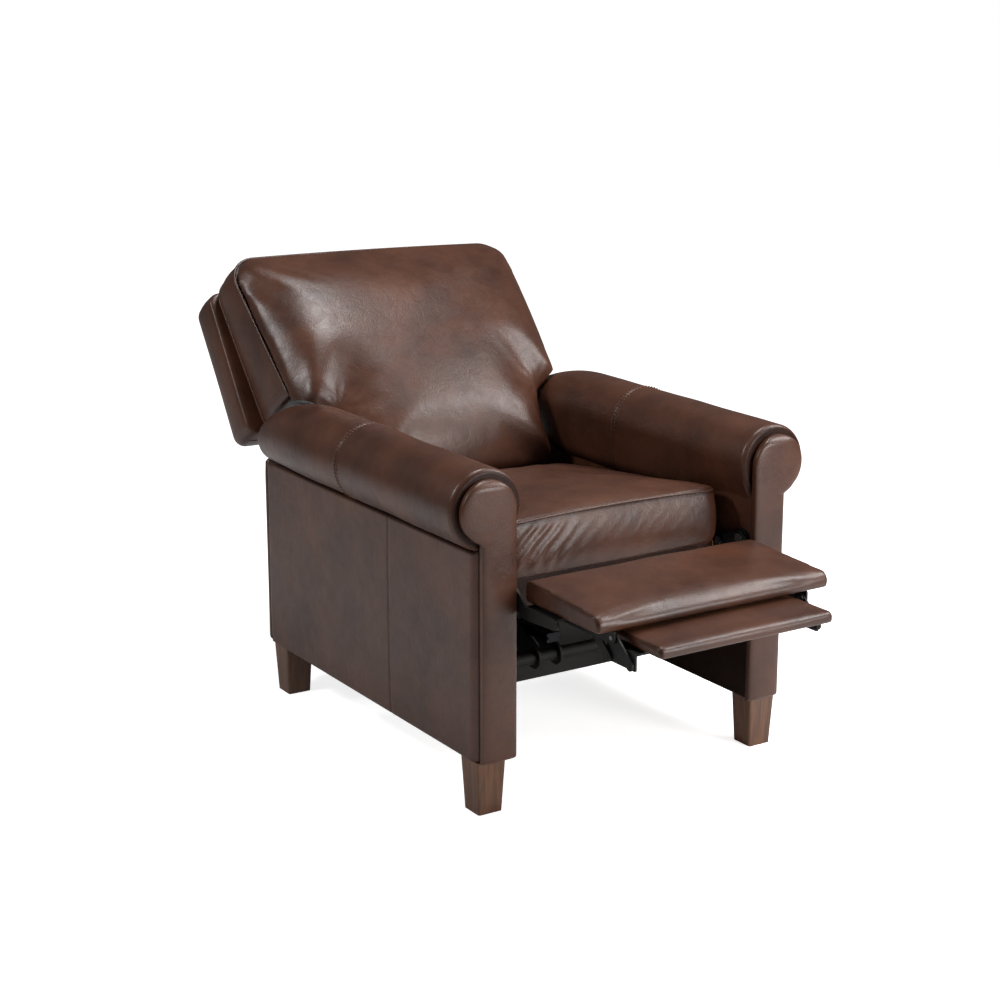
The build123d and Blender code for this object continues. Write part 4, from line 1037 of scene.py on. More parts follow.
@dataclass
class SeatCushion:
    """Box seat cushion: crowned top panel rolled over a sewn edge, above a plain front boxing."""

    half_width: float = 0.244
    length: float = 0.512
    front_corner: float = 0.030
    rear_corner: float = 0.045
    waist: float = 0.005
    side_from: float = 0.2
    base_inset: float = 0.235
    base_edge: float = 0.012
    base_lift: float = 0.001
    base_hold: float = 0.006
    boxing_bulge: float = 0.003
    boxing_trim: float = 0.015
    seam_height: float = 0.103
    seam_inset: float = 0.0035
    seam_bow: float = 0.007
    seam_gap: float = 0.002
    seam_hold: float = 0.005
    seam_shade: tuple[float, float] = (-0.001, 0.0045)
    seam_shade_strength: float = 0.85
    rim_hold: float = 0.03
    rim_shade: float = 0.02
    roll: float = 0.020
    roll_rise: float = 0.012
    roll_start: float = 0.15
    roll_overhang: float = 1.02
    crown_height: float = 0.119
    crown_power: float = 0.8
    welt_radius: float = 0.0024
    welt_inset: float = 0.0005
    border_half: float = 0.2465
    border_depths: tuple[float, float] = (0.0312, 0.0336)
    border_heights: tuple[float, float] = (-0.0605, 0.006)
    border_edge: float = 0.0008
    border_shade_strength: float = 0.6
    fold_pitch: float = 0.034
    fold_slant: float = 0.75
    fold_bend: float = 0.012
    fold_height: float = 0.0024
    fold_place: float = -0.18
    fold_spread: float = 0.075
    fold_sway: float = 40.0
    fold_wave: float = 0.09
    fold_seed: int = 7
    fold_valley: float = -0.3
    fold_depths: tuple[float, float] = (0.02, -0.004)
    fold_foot: float = 0.02
    fold_head: float = 0.015
    faint_height: float = 0.0002
    faint_place: float = 0.05
    faint_spread: float = 0.15
    slow_wave: float = 0.0018
    slow_length: float = 0.17
    slow_seed: int = 5
    slow_from: tuple[float, float] = (0.004, 0.03)
    stuffing: Stuffing = field(default_factory=lambda: Stuffing(cap=0.022, passes=7))
    frame: LocalFrame = field(default_factory=lambda: falling(0.070, 0.412, 6.6))

    def outline(self, count: int) -> Array:
        """Plan of the cushion: an oblong with rounded corners and sides drawn in between them."""
        plan = oblong(self.half_width, 0.0, self.length, self.front_corner, self.rear_corner, count)
        drawn = self.waist * np.cos(math.pi * (plan[:, 1] / self.length - 0.5)) ** 2
        plan[:, 0] -= np.sign(plan[:, 0]) * drawn * (np.abs(plan[:, 0]) > self.side_from)
        return plan

    def profile(self) -> Array:
        """Inset and height from the base's middle, out round the boxing, over the roll, in to the crown."""
        seam, crown, edge = self.seam_height, self.crown_height, self.base_edge
        start = self.base_lift + edge
        base = np.stack([np.linspace(self.base_inset, edge, 24), np.full(24, self.base_lift)], axis=1)
        turn = np.linspace(0.0, math.pi / 2, 6)[1:]
        bend = np.stack([edge - edge * np.sin(turn), start - edge * np.cos(turn)], axis=1)
        rise = np.linspace(start, seam - self.seam_gap, 14)[1:]
        bulge = -self.boxing_bulge * np.sin(math.pi * (rise - start) / (seam - self.boxing_trim))
        sewn = np.array([[self.seam_inset, seam]])
        over = np.linspace(self.roll_start, math.pi / 2, 8)[::-1]
        roll = np.stack([
            self.roll - self.roll * np.sin(over) * self.roll_overhang,
            seam + self.roll_rise * np.cos(over)], axis=1)
        inset = np.linspace(self.roll + self.seam_gap, self.base_inset, 26)
        into = (inset - self.roll) / (self.base_inset - self.roll)
        swell = np.sin(math.pi / 2 * into) ** self.crown_power
        top = seam + self.roll_rise + (crown - seam - self.roll_rise) * swell
        return np.concatenate([
            base, bend, np.stack([bulge, rise], axis=1), sewn, roll, np.stack([inset, top], axis=1)])

    def build_pad(self) -> None:
        """Rings of the plan drawn in by the profile, blown up between the seams, then wrinkled."""
        plan, profile = self.outline(200), self.profile()
        middle = np.array([0.0, self.length / 2])
        flat = drawn_in(plan, middle, profile[:, 0], self.half_width)
        share = np.clip(profile[:, 1, None] / self.seam_height, 0.0, 1.0)
        high = profile[:, 1, None] + share * (self.seam_line(flat[..., 0]) - self.seam_height)
        piece = self.frame.skin("seat_pad", flat, high)
        self.stuffing.swell(piece, self.hold)
        self.wrinkle(piece)
        refine(piece)
        settle(piece, "base", LEATHER, ["seat_cushion"])

    def build_welt(self) -> None:
        """Piping along the sewn edge, just inside the plan."""
        middle = np.array([0.0, self.length / 2])
        edge = drawn_in(self.outline(260), middle, np.array([self.welt_inset]), self.half_width)[0]
        path = self.frame.place(np.concatenate([edge, self.seam_line(edge[:, :1])], axis=1))
        settle(welt("seat_welt", path, self.welt_radius, self.frame.out), "base", LEATHER)

    def build_border(self) -> None:
        """Leather drawn over the front rail: a thin slab of rounded section under the boxing."""
        (near, far), (low, high), edge = self.border_depths, self.border_heights, self.border_edge
        across = np.linspace(-self.border_half, self.border_half, 40)[:, None]
        depth, height = rounded_outline([
            (near, low, edge), (far, low, edge), (far, high, edge), (near, high, edge)], 80).T
        local = np.stack(np.broadcast_arrays(across, depth, height), axis=-1)
        piece = closed_skin("seat_border", self.frame.place(local))
        # Painted shade over the whole border, which lies under the boxing.
        write_painted_shade(piece, np.full(len(piece.data.vertices), self.border_shade_strength))
        settle(piece, "base", LEATHER)

    def build(self) -> None:
        """Make the pad, its welt and the border under it."""
        self.build_pad()
        self.build_welt()
        self.build_border()

    def seam_line(self, across: Array) -> Array:
        """Height of the sewn edge, bowed up a little between the arms."""
        return self.seam_height + self.seam_bow * (1.0 - (across / self.half_width) ** 2)

    def hold(self, points: Array) -> Array:
        """Hold the base and the sewn edge fast."""
        local = self.frame.read(points)
        near_seam = hump(local[:, 2] - self.seam_line(local[:, 0]), 0.0, self.seam_hold) > 0.5
        at_seam = near_seam & (self.rim_distance(local) < self.rim_hold)
        return (local[:, 2] < self.base_hold) | at_seam

    def rim_distance(self, local: Array) -> Array:
        """Distance in from the cushion's plan outline, taken on the nearer pair of sides."""
        return np.minimum(self.half_width - np.abs(local[:, 0]),
                          np.minimum(local[:, 1], self.length - local[:, 1]))

    def wrinkle(self, piece: bpy.types.Object) -> None:
        """Push slanting folds into the front boxing, strongest at the sitter's right, and paint shade along
        the sewn edge.
        """
        points, normals = read_points(piece), read_normals(piece)
        local = self.frame.read(points)
        across, depth, high = local.T
        front = ease(*self.fold_depths, depth) * ease(0.0, self.fold_foot, high) * ease(
            self.seam_height, self.seam_height - self.fold_head, high)
        bend = (self.fold_bend * np.sin(high * self.fold_sway)
                + self.fold_bend * unevenness(local, self.fold_wave, self.fold_seed))
        phase = (across - self.fold_slant * high + bend) / self.fold_pitch
        fold = np.maximum(np.sin(math.tau * phase), self.fold_valley)
        strength = (self.fold_height * hump(across, self.fold_place, self.fold_spread)
                    + self.faint_height * hump(across, self.faint_place, self.faint_spread))
        slow = self.slow_wave * unevenness(local, self.slow_length, self.slow_seed)
        slow = slow * ease(*self.slow_from, high)
        write_points(piece, points + normals * (front * fold * strength + slow)[:, None])
        # Painted shade along the sewn edge, near the rim.
        seam = hump(high - self.seam_line(across), *self.seam_shade)
        write_painted_shade(piece, self.seam_shade_strength * seam * (self.rim_distance(local) < self.rim_shade))


@dataclass
class BackRest:
    """The leaning back: a T-shaped cushion, the boxed body behind it and the padded outer panel."""

    lower_half: float = 0.240
    upper_half: float = 0.336
    bottom: float = 0.030
    ear: float = 0.208
    ear_half: float = 0.314
    top: float = 0.595
    top_bow: float = 0.004
    bow_from: float = 0.5
    slump: float = 0.007
    slump_from: float = 0.3
    bottom_corner: float = 0.030
    ear_inner_corner: float = 0.036
    ear_corner: float = 0.034
    top_corner: float = 0.062
    cushion_middle: float = 0.345
    edge_reach: float = 0.052
    crown_share: float = 0.16
    crown_reach: float = 0.24
    hold_height: float = 0.007
    slow_wave: float = 0.0022
    slow_length: float = 0.24
    slow_seed: int = 8
    slow_from: tuple[float, float] = (0.012, 0.04)
    gather: float = 0.0005
    gather_count: float = 11.0
    gather_zone: tuple[float, float] = (0.030, 0.026)
    gather_from: tuple[float, float] = (0.004, 0.02)
    seam_shade: tuple[float, float] = (0.010, 0.002)
    seam_shade_strength: float = 0.8
    body_ear: float = 0.264
    body_middle: float = 0.44
    body_half: float = 0.155
    body_bottom_corner: float = 0.012
    body_top_corner: float = 0.056
    boxing_rear: float = 0.152
    boxing_bulge: float = 0.0022
    boxing_cap: float = 0.15
    boxing_edge: float = 0.001
    boxing_round: tuple[float, float] = (0.008, 0.004)
    boxing_shade: float = 0.004
    boxing_shade_strength: float = 0.7
    boxing_welts: tuple[float, float] = (0.0030, 0.0026)
    deck_front: float = 0.020
    deck_rear: float = 0.0715
    deck_overlap: float = 0.02
    deck_corners: tuple[float, float] = (0.014, 0.010)
    outer_front: float = 0.168
    outer_rear: float = 0.263
    outer_half: float = 0.345
    outer_bottom: float = 0.255
    outer_top: float = 0.580
    outer_corners: tuple[float, float] = (0.022, 0.026)
    outer_inset: float = 0.168
    outer_lip: float = 0.006
    outer_nose: float = 0.020
    outer_bulge: float = 0.0015
    outer_crown: float = 0.004
    outer_wave: float = 0.0012
    outer_wave_length: float = 0.2
    outer_wave_seed: int = 21
    outer_seam: float = 0.48
    outer_seam_zone: tuple[float, float] = (0.2, 0.03)
    outer_shade: tuple[float, float] = (0.004, 0.003)
    outer_shade_strength: float = 0.7
    outer_welt: float = 0.0030
    furthest_lean: float = 10.0
    arm_clearance: float = 0.002
    stuffing: Stuffing = field(default_factory=lambda: Stuffing(cap=0.026, passes=24))
    frame: LocalFrame = field(default_factory=lambda: leaning(0.630, 0.420, 34.0))

    def cushion_outline(self, count: int) -> Array:
        """T-shaped outline: narrow between the arms, wide above them, bowed a little along the top."""
        low, high = self.lower_half, self.upper_half
        return self.bowed(rounded_outline([
            (-low, self.bottom, self.bottom_corner), (low, self.bottom, self.bottom_corner),
            (low, self.ear, self.ear_inner_corner), (self.ear_half, self.ear, self.ear_corner),
            (high, self.top, self.top_corner), (-high, self.top, self.top_corner),
            (-self.ear_half, self.ear, self.ear_corner), (-low, self.ear, self.ear_inner_corner)], count))

    def bowed(self, line: Array) -> Array:
        """Bow an outline along its top, which has slumped a little towards the sitter's left."""
        share = line[:, 0] / self.upper_half
        rise = self.top_bow * (1.0 - share ** 2) * ease(self.bow_from, self.top, line[:, 1])
        fall = self.slump * share * ease(self.slump_from, self.top, line[:, 1])
        return line + np.stack([np.zeros(len(line)), rise - fall], axis=1)

    @staticmethod
    def welt_line(height: Array) -> Array:
        """How far forward the cushion's rear seam lies: nearer the front low down."""
        upper_height, upper_out, slope, rearmost, foremost = 0.554, -0.054, 0.1645, -0.060, 0.010
        return np.clip(upper_out + slope * (upper_height - height), rearmost, foremost)

    @staticmethod
    def loft_height(height: Array) -> Array:
        """Thickness of the cushion over its seam: full at the lumbar, thin at the top."""
        heights = [0.0, 0.08, 0.27, 0.40, 0.52, 0.60]
        lofts = [0.046, 0.056, 0.062, 0.055, 0.044, 0.038]
        return np.interp(height, heights, lofts)

    def build_cushion(self) -> None:
        """Scaled copies of the T outline, risen by a quarter-round over the distance in from the outline."""
        count, smallest = 300, 0.012
        line = self.cushion_outline(count)
        middle = np.array([0.0, self.cushion_middle])
        front = np.sin(np.linspace(0.0, math.pi / 2, 48))[::-1]
        front[-1] = smallest
        rear = np.linspace(0.06, 0.985, 26)
        flat = middle + np.concatenate([rear, front])[:, None, None] * (line[None] - middle)
        inset = np.linalg.norm(flat[rear.size:, :, None] - line[None, None, ::2], axis=-1).min(axis=-1)
        share = np.concatenate([np.zeros((rear.size, count)), quarter_round(inset / self.edge_reach, 2.2)])
        share[rear.size:] += self.crown_share * np.clip(inset / self.crown_reach, 0.0, 1.0)
        high = self.welt_line(flat[..., 1]) + share * self.loft_height(flat[..., 1])
        piece = self.frame.skin("back_pad", flat, high)
        self.stuffing.swell(piece, self.hold)
        self.pucker(piece)
        self.rest_on_arms(piece)
        refine(piece)
        settle(piece, "back", LEATHER, ["back_cushion"])

    def rest_on_arms(self, piece: bpy.types.Object) -> None:
        """Press the ears out of the arm rolls, as they lie at rest and with the back leant to its limit.

        A point inside a roll moves square to the roll's axis to its skin.
        """
        arm = RolledArm(Side.LEFT)
        points = read_points(piece)
        middle = np.asarray(self.frame.origin)
        for degrees in (self.furthest_lean, 0.0):
            turn = math.radians(degrees)
            back = np.array([[1.0, 0.0, 0.0], [0.0, math.cos(turn), math.sin(turn)],
                             [0.0, -math.sin(turn), math.cos(turn)]])
            leant = middle + (points - middle) @ back.T
            depth = np.minimum(leant[:, 1] - FACE_Y, arm.roll_end)
            across = np.abs(leant[:, 0]) - arm.roll_x
            lift = leant[:, 2] - arm.roll_height + arm.drawn_down(depth) / 2
            reach = np.hypot(across, lift)
            girth = arm.roll_girth(depth) + self.arm_clearance
            push = np.where(reach < girth, girth / np.maximum(reach, 1e-6) - 1.0, 0.0)
            leant[:, 0] += np.sign(leant[:, 0]) * across * push
            leant[:, 2] += lift * push
            points = middle + (leant - middle) @ back
        write_points(piece, points)

    def hold(self, points: Array) -> Array:
        """Hold the rear of the cushion fast."""
        local = self.frame.read(points)
        return local[:, 2] < self.welt_line(local[:, 1]) + self.hold_height

    def pucker(self, piece: bpy.types.Object) -> None:
        """Gather the leather where the ears meet the arms, and let the face roll slowly."""
        points, normals = read_points(piece), read_normals(piece)
        local = self.frame.read(points)
        out = local[:, 2] - self.welt_line(local[:, 1])
        total = self.slow_wave * unevenness(local, self.slow_length, self.slow_seed)
        total = total * ease(*self.slow_from, out)
        for sign in (-1.0, 1.0):
            away = local[:, :2] - np.array([sign * self.lower_half, self.ear])
            angle = np.arctan2(away[:, 1], -sign * away[:, 0])
            reach = np.linalg.norm(away, axis=1)
            gathers = self.gather * np.sin(self.gather_count * angle) * hump(reach, *self.gather_zone)
            total = total + gathers * ease(*self.gather_from, out)
        write_points(piece, points + normals * total[:, None])
        # Painted shade near the cushion's rear seam.
        write_painted_shade(piece, self.seam_shade_strength * ease(*self.seam_shade, out))

    def build_body(self) -> None:
        """The upper block: its outline carried back from the cushion's seam, with a rounded rear edge."""
        count, cap_steps, side_steps = 320, 16, 22
        low_corner, high_corner, edge = self.body_bottom_corner, self.body_top_corner, self.boxing_edge
        rim, behind_seam, before_rear = 0.002, 0.001, 0.003
        block = self.bowed(rounded_outline([
            (-self.ear_half, self.body_ear, low_corner), (self.ear_half, self.body_ear, low_corner),
            (self.upper_half, self.top, high_corner), (-self.upper_half, self.top, high_corner)], count))
        middle = np.array([0.0, self.body_middle])
        back_share = np.concatenate([
            np.zeros(cap_steps), np.linspace(0.0, 1.0, side_steps), np.ones(cap_steps)])
        bulge = -self.boxing_bulge * np.sin(math.pi * np.linspace(0.05, 0.95, side_steps - 2))
        inset = np.concatenate([
            np.linspace(self.boxing_cap, rim, cap_steps), [0.0], bulge, [edge],
            edge + np.linspace(0.0, self.boxing_cap, cap_steps)])
        flat = drawn_in(block, middle, inset, self.body_half)
        front = self.welt_line(flat[..., 1]) - behind_seam
        high = front + back_share[:, None] * (-self.boxing_rear - front)
        reach, drop = self.boxing_round
        rounded = np.clip((inset - edge) / reach, 0.0, 1.0)[-cap_steps:]
        high[-cap_steps:] = high[-cap_steps:] - drop * rounded[:, None] + drop
        piece = self.frame.skin("back_boxing", flat, high)
        local = self.frame.read(read_points(piece))
        out = local[:, 2] - self.welt_line(local[:, 1])
        rear_seam = -self.boxing_rear + before_rear
        # Painted shade along the boxing's rear seam and along its front welt.
        write_painted_shade(piece, self.boxing_shade_strength * hump(local[:, 2], rear_seam, self.boxing_shade)
                     + self.boxing_shade_strength * hump(out, -behind_seam, self.boxing_shade))
        settle(piece, "back", LEATHER, ["back_body"])
        levels = (self.welt_line(block[:, 1]) - rim, np.full(count, rear_seam))
        for name, level, radius in zip(("front", "rear"), levels, self.boxing_welts):
            path = self.frame.place(np.concatenate([block, level[:, None]], axis=1))
            settle(welt(f"back_boxing_welt_{name}", path, radius, self.frame.out), "back", LEATHER)

    def build_deck(self) -> None:
        """The thin deck between the arms: scaled copies of an oblong from its front to its rear face."""
        deck = oblong(
            self.lower_half, self.bottom, self.body_ear + self.deck_overlap, *self.deck_corners, 260)
        middle = deck.mean(axis=0)
        steps = np.array([0.2, 0.6, 0.97, 1.0, 1.0, 1.0, 0.97, 0.6, 0.2])
        share = np.array([0.0, 0.0, 0.0, 0.06, 0.5, 0.94, 1.0, 1.0, 1.0])
        flat = middle + steps[:, None, None] * (deck[None] - middle)
        front = np.full(flat.shape[:2], -self.deck_front)
        high = front + share[:, None] * (-self.deck_rear - front)
        piece = self.frame.skin("back_deck", flat, high)
        settle(piece, "back", LEATHER)

    def build_outer(self) -> None:
        """The outer panel: a deep padded slab, its outline swelling to the middle of its thickness."""
        count, face_steps, side_steps, gap, margin = 320, 18, 8, 0.002, 0.003
        line = oblong(self.outer_half, self.outer_bottom, self.outer_top, *self.outer_corners, count)
        middle = np.array([0.0, (self.outer_bottom + self.outer_top) / 2])
        thick = self.outer_rear - self.outer_front
        lip, nose, wide = self.outer_lip, self.outer_nose, self.outer_inset
        turn = np.linspace(0.0, math.pi / 2, 9)
        inset = np.concatenate([
            np.linspace(wide, lip, face_steps)[:-1], lip * (1.0 - np.sin(turn)),
            -self.outer_bulge * np.sin(math.pi * np.linspace(0.1, 0.9, side_steps)),
            nose * (1.0 - np.cos(turn)) ** 1.1,
            np.linspace(nose, wide, face_steps)[1:]])
        depth = np.concatenate([
            np.zeros(face_steps - 1), lip * (1.0 - np.cos(turn)),
            np.linspace(lip + gap, thick - nose - gap, side_steps), thick - nose + nose * np.sin(turn),
            thick + self.outer_crown * np.sin(math.pi / 2 * np.linspace(0.0, 1.0, face_steps)[1:])])
        flat = drawn_in(line, middle, inset, wide + margin)
        out = np.broadcast_to(-self.outer_front - depth[:, None], flat.shape[:2])
        piece = self.frame.skin("outer_back_pad", flat, out)
        seam = self.outer_front + self.outer_seam * thick
        points, normals = read_points(piece), read_normals(piece)
        local = self.frame.read(points)
        waves = self.outer_wave * unevenness(local, self.outer_wave_length, self.outer_wave_seed)
        write_points(piece, points + normals * waves[:, None])
        # Painted shade along the welt on the panel's sides and top.
        beside, below_top = self.outer_seam_zone
        edge = (np.abs(local[:, 0]) > beside) | (local[:, 1] > self.outer_top - below_top)
        behind, width = self.outer_shade
        write_painted_shade(piece, self.outer_shade_strength * hump(local[:, 2], -seam - behind, width) * edge)
        settle(piece, "back", LEATHER, ["outer_back_panel"])
        path = self.frame.place(np.concatenate([line, np.full((count, 1), -seam)], axis=1))
        settle(welt("outer_back_welt", path, self.outer_welt, self.frame.out), "back", LEATHER)

    def build(self) -> None:
        """Make the cushion, the boxed body, the deck and the outer panel."""
        self.build_cushion()
        self.build_body()
        self.build_deck()
        self.build_outer()


@dataclass
class LegPad:
    """A footrest pad: one leather cover wrapped round its nose, with flat sewn side panels."""

    name: str
    body: str
    node: str
    half_width: float
    front: float
    rear: float
    bottom: float
    top: float
    nose: float
    crown: float
    dip: float
    seed: int
    stuffing: Stuffing
    edge: float = 0.005
    corner_shares: tuple[float, float, float] = (0.20, 0.12, 0.25)
    base_hold: float = 0.004
    side_hold: float = 0.007
    wave: float = 0.0008
    wave_length: float = 0.12
    wave_rise: float = 0.02
    seam_inset: float = 0.003
    seam_shade: float = 0.0035
    seam_shade_strength: float = 0.55

    def section(self, count: int) -> Array:
        """Depth and height round the pad: flat base, tall round nose, flat top and a small round tail."""
        thick = self.top - self.bottom
        chin, heel, tail = self.corner_shares
        return rounded_outline([
            (self.front, self.bottom, chin * thick), (self.rear, self.bottom, heel * thick),
            (self.rear, self.top - self.crown, tail * thick),
            (self.front, self.top - self.crown - self.dip, self.nose)], count)

    def build(self) -> None:
        """The section carried across the chair, fuller in the middle, its ends shut by flat sewn panels."""
        section, edge = self.section(150), self.edge
        turn = np.linspace(0.0, math.pi / 2, 6)
        reach = np.concatenate([[self.half_width], self.half_width - edge * (1 - np.sin(turn[::-1]))])
        half = np.unique(np.concatenate([np.linspace(0.0, self.half_width - edge, 46), reach]))
        across = np.unique(np.concatenate([-half, half]))
        share = np.abs(across) / self.half_width
        drawn = edge * (1.0 - quarter_round((self.half_width - np.abs(across)) / edge))
        middle = np.array([(self.front + self.rear) / 2, (self.bottom + self.top) / 2])
        size = np.array([(self.rear - self.front) / 2, (self.top - self.bottom) / 2])
        rings = middle + (1.0 - drawn[:, None, None] / size) * (section[None] - middle)
        raised = ease(middle[1], self.top, rings[..., 1])
        along = np.clip((rings[..., 0] - self.front) / (self.rear - self.front), 0.0, 1.0)
        rings[..., 1] += self.crown * raised * (1.0 - share ** 2.4)[:, None] * np.sin(math.pi * along) ** 0.7
        wide = np.broadcast_to(across[:, None], rings.shape[:2])
        piece = closed_skin(self.name, np.stack([wide, FACE_Y + rings[..., 0], rings[..., 1]], axis=-1))
        self.stuffing.swell(piece, self.hold)
        points, normals = read_points(piece), read_normals(piece)
        base = self.bottom + self.base_hold
        up = ease(base, self.bottom + self.wave_rise, points[:, 2])
        waves = self.wave * up * unevenness(points, self.wave_length, self.seed)
        write_points(piece, points + normals * waves[:, None])
        # Painted shade along the sewn side seams, above the base.
        side = np.abs(np.abs(points[:, 0]) - self.half_width + self.seam_inset)
        write_painted_shade(piece, self.seam_shade_strength * hump(side, 0.0, self.seam_shade) * (points[:, 2] > base))
        refine(piece)
        settle(piece, self.body, LEATHER, [self.node])

    def hold(self, points: Array) -> Array:
        """Hold the base and the sewn side edges fast."""
        side = np.abs(points[:, 0]) > self.half_width - self.side_hold
        return (points[:, 2] < self.bottom + self.base_hold) | side


@dataclass
class LowerBack:
    """Upholstered panel that closes the chair's back under the leaning back."""

    half_width: float = 0.346
    bottom: float = 0.103
    top: float = 0.438
    corners: tuple[float, float] = (0.010, 0.012)
    shoulder: float = 0.060
    shoulder_span: tuple[float, float] = (0.270, 0.305)
    shoulder_drop: tuple[float, float] = (0.02, 0.008)
    front: float = 0.8302
    thick: float = 0.0185
    edge: float = 0.009
    inset: float = 0.15
    half_height: float = 0.168

    def build(self) -> None:
        """Scaled copies of the panel's outline, flat in front and softly rounded behind."""
        line = oblong(self.half_width, self.bottom, self.top, *self.corners, 300)
        start, end = self.shoulder_drop
        high = ease(self.top - start, self.top - end, line[:, 1])
        line[:, 1] += self.shoulder * high * ease(*self.shoulder_span, np.abs(line[:, 0]))
        front_steps, rear_steps, welted, hem, crown = 10, 16, 0.010, 0.001, 0.002
        turn = np.linspace(0.0, math.pi / 2, 8)[1:]
        inset = np.concatenate([
            np.linspace(self.inset, 0.0, front_steps), self.edge * (1 - np.cos(turn)),
            np.linspace(self.edge, self.inset, rear_steps)[1:]])
        depth = np.concatenate([
            np.zeros(front_steps), self.thick - welted + self.edge * np.sin(turn),
            self.thick - hem + crown * np.linspace(0, 1, rear_steps)[1:]])
        flat = drawn_in(line, line.mean(axis=0), inset, self.half_height)
        at = np.broadcast_to(FACE_Y + self.front + depth[:, None], flat.shape[:2])
        piece = closed_skin("lower_back_cover", np.stack([flat[..., 0], at, flat[..., 1]], axis=-1))
        settle(piece, "base", LEATHER, ["lower_back_panel"])


class Mechanism:
    """The frame's own solids: timber, steel, actuators, switch and legs, each in its real finish."""

    def build(self) -> None:
        """Dress every solid that stays in view."""
        for finish, names in NODE_FINISHES.items():
            for name in names:
                finish.dress(frame["nodes"][name])
            log.info("%s: %d solids", finish.name, len(names))


# Studio


@dataclass(frozen=True)
class Softbox:
    """A round soft lamp: where it stands, where it points, how wide and how strong it is."""

    name: str
    place: tuple[float, float, float]
    target: tuple[float, float, float]
    size: float
    watts: float

    def build(self) -> None:
        """Make the lamp and turn it to its target."""
        data = bpy.data.lights.new(self.name, "AREA")
        data.shape = "DISK"
        data.size = self.size
        data.energy = self.watts
        lamp = bpy.data.objects.new(self.name, data)
        lamp.location = self.place
        lamp.rotation_euler = (Vector(self.target) - Vector(self.place)).to_track_quat("-Z", "Y").to_euler()
        bpy.context.scene.collection.objects.link(lamp)


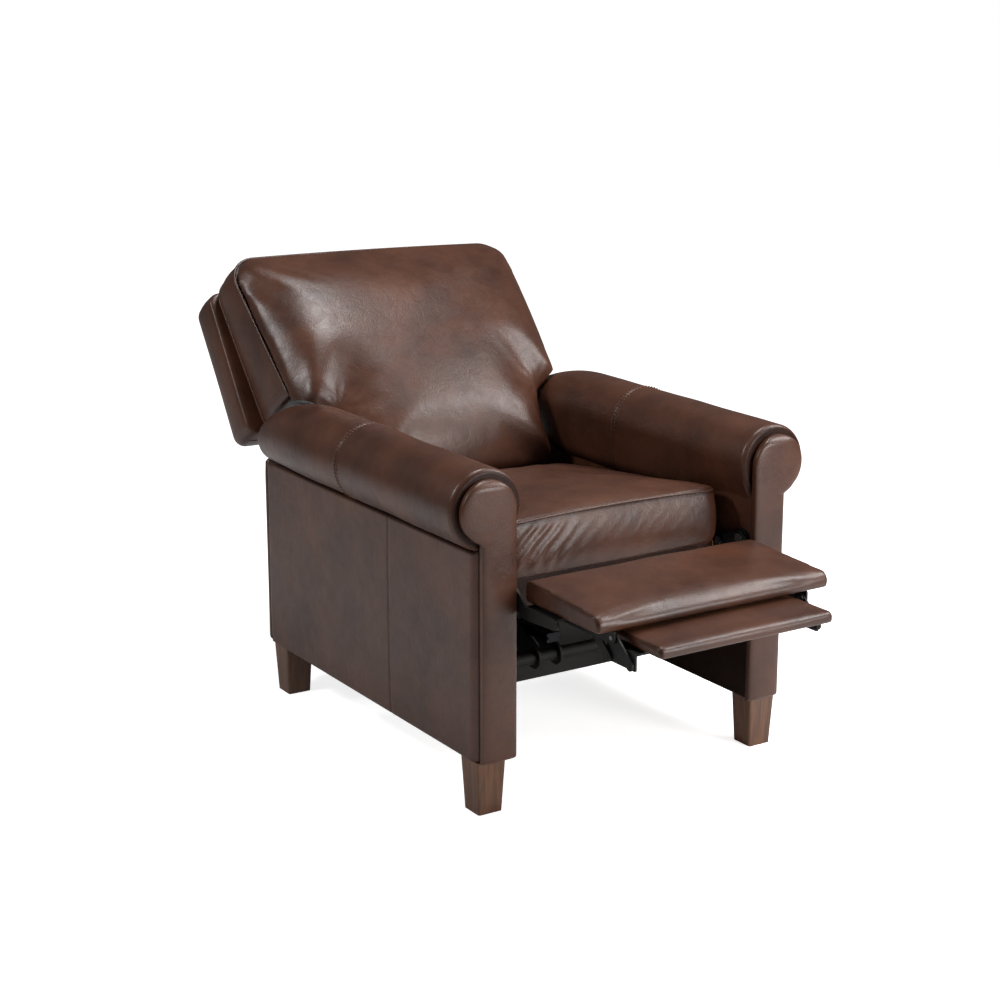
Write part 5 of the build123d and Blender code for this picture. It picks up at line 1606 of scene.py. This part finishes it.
@dataclass
class Studio:
    """Pale floor, soft lamps and the camera at the photograph's angle."""

    lens: float = 74.24
    sensor: float = 36.0
    camera_at: tuple[float, float, float] = (-2.1642, -2.9114 + FACE_Y, 1.5049)
    camera_turn: tuple[float, float, float] = (90.0 - 14.828, 0.0, -32.555)
    floor_half: float = 9.0
    floor_grey: float = 0.93
    glow_near: float = 0.80
    glow_far: float = 0.97
    glow_span: tuple[float, float] = (1.5, 3.5)
    world_light: float = 0.12
    softboxes: tuple[Softbox, ...] = (
        Softbox("key_softbox", (1.6, -1.1, 2.1), (0.0, 0.15, 0.6), 1.3, 50.0),
        Softbox("top_softbox", (0.40, 0.1, 3.25), (0.0, 0.2, 0.6), 0.8, 46.0),
        Softbox("front_softbox", (1.0, -2.68, 1.02), (0.0, -0.3, 0.45), 0.95, 38.0),
        Softbox("edge_softbox", (-2.35, 0.5, 2.3), (-0.2, 0.2, 0.75), 0.5, 30.0),
    )

    def build(self) -> None:
        """Set up the floor, the world, the lamps and the camera."""
        self.build_floor()
        self.build_world()
        for softbox in self.softboxes:
            softbox.build()
        self.build_camera()
        bpy.context.scene.view_settings.view_transform = "Standard"

    def build_camera(self) -> None:
        """Put the camera where the photograph was taken from."""
        data = bpy.data.cameras.new("photo_camera")
        data.lens = self.lens
        data.sensor_width = self.sensor
        camera = bpy.data.objects.new("photo_camera", data)
        camera.location = self.camera_at
        camera.rotation_euler = [math.radians(a) for a in self.camera_turn]
        bpy.context.scene.collection.objects.link(camera)
        bpy.context.scene.camera = camera

    def build_floor(self) -> None:
        """White floor that shows plain white to the camera apart from the chair's shadow."""
        half = self.floor_half
        corners = np.array([[-half, -half, 0.0], [half, -half, 0.0], [half, half, 0.0], [-half, half, 0.0]])
        floor = make_piece("studio_floor", corners, np.array([[0, 1, 2, 3]]))
        paint = bpy.data.materials.new("white_floor")
        paint.use_nodes = True
        tree = paint.node_tree
        tree.nodes.clear()
        matt = add_node(tree, "ShaderNodeBsdfDiffuse", inputs={"Color": (*[self.floor_grey] * 3, 1.0)})
        path = add_node(tree, "ShaderNodeLightPath")
        coords = add_node(tree, "ShaderNodeTexCoord")
        away = add_node(tree, "ShaderNodeVectorMath", {"operation": "LENGTH"}, {0: coords.outputs["Object"]})
        white = add_node(tree, "ShaderNodeMapRange", inputs={
            "Value": away.outputs["Value"], "From Min": self.glow_span[0], "From Max": self.glow_span[1],
            "To Min": self.glow_near, "To Max": self.glow_far})
        # Only the camera sees the glow: mirrored in the leather, it would veil the dark brown.
        level = add_node(tree, "ShaderNodeMath", {"operation": "MULTIPLY"}, {
            0: path.outputs["Is Camera Ray"], 1: white.outputs["Result"]})
        glow = add_node(tree, "ShaderNodeEmission", inputs={"Strength": level.outputs[0]})
        both = add_node(tree, "ShaderNodeAddShader", inputs={0: matt.outputs[0], 1: glow.outputs[0]})
        add_node(tree, "ShaderNodeOutputMaterial", inputs={"Surface": both.outputs[0]})
        floor.data.materials.append(paint)

    def build_world(self) -> None:
        """White surroundings for the camera, a plain grey level of light for the object."""
        world = bpy.data.worlds.new("studio")
        bpy.context.scene.world = world
        world.use_nodes = True
        tree = world.node_tree
        tree.nodes.clear()
        path = add_node(tree, "ShaderNodeLightPath")
        seen = add_node(tree, "ShaderNodeMath", {"operation": "ADD", "use_clamp": True}, {
            0: path.outputs["Is Camera Ray"], 1: path.outputs["Is Transmission Ray"]})
        level = add_node(tree, "ShaderNodeMapRange", inputs={
            "Value": seen.outputs[0], "To Min": self.world_light, "To Max": 1.0})
        sky = add_node(tree, "ShaderNodeBackground", inputs={
            "Color": (1.0, 1.0, 1.0, 1.0), "Strength": level.outputs["Result"]})
        add_node(tree, "ShaderNodeOutputWorld", inputs={"Surface": sky.outputs[0]})


FOOTREST = LegPad(
    name="footrest_cover", body="footrest", node="footrest_pad", half_width=0.255, front=-0.227, rear=0.0,
    bottom=0.3965, top=0.4445, nose=0.018, crown=0.006, dip=0.011, seed=31,
    stuffing=Stuffing(voxel=0.005, cap=0.010, passes=4))
FLIPPER = LegPad(
    name="flipper_cover", body="flipper", node="flipper_pad", half_width=0.190, front=-0.3165, rear=-0.167,
    bottom=0.3665, top=0.3905, nose=0.010, crown=0.002, dip=0.0, seed=41,
    stuffing=Stuffing(voxel=0.005, cap=0.0012, passes=3))


def main() -> None:
    """Build every sub-assembly in order, then the studio."""
    Mechanism().build()
    for side in Side:
        RolledArm(side).build()
    SeatCushion().build()
    BackRest().build()
    FOOTREST.build()
    FLIPPER.build()
    LowerBack().build()
    Studio().build()


if __name__ == "__main__":
    main()
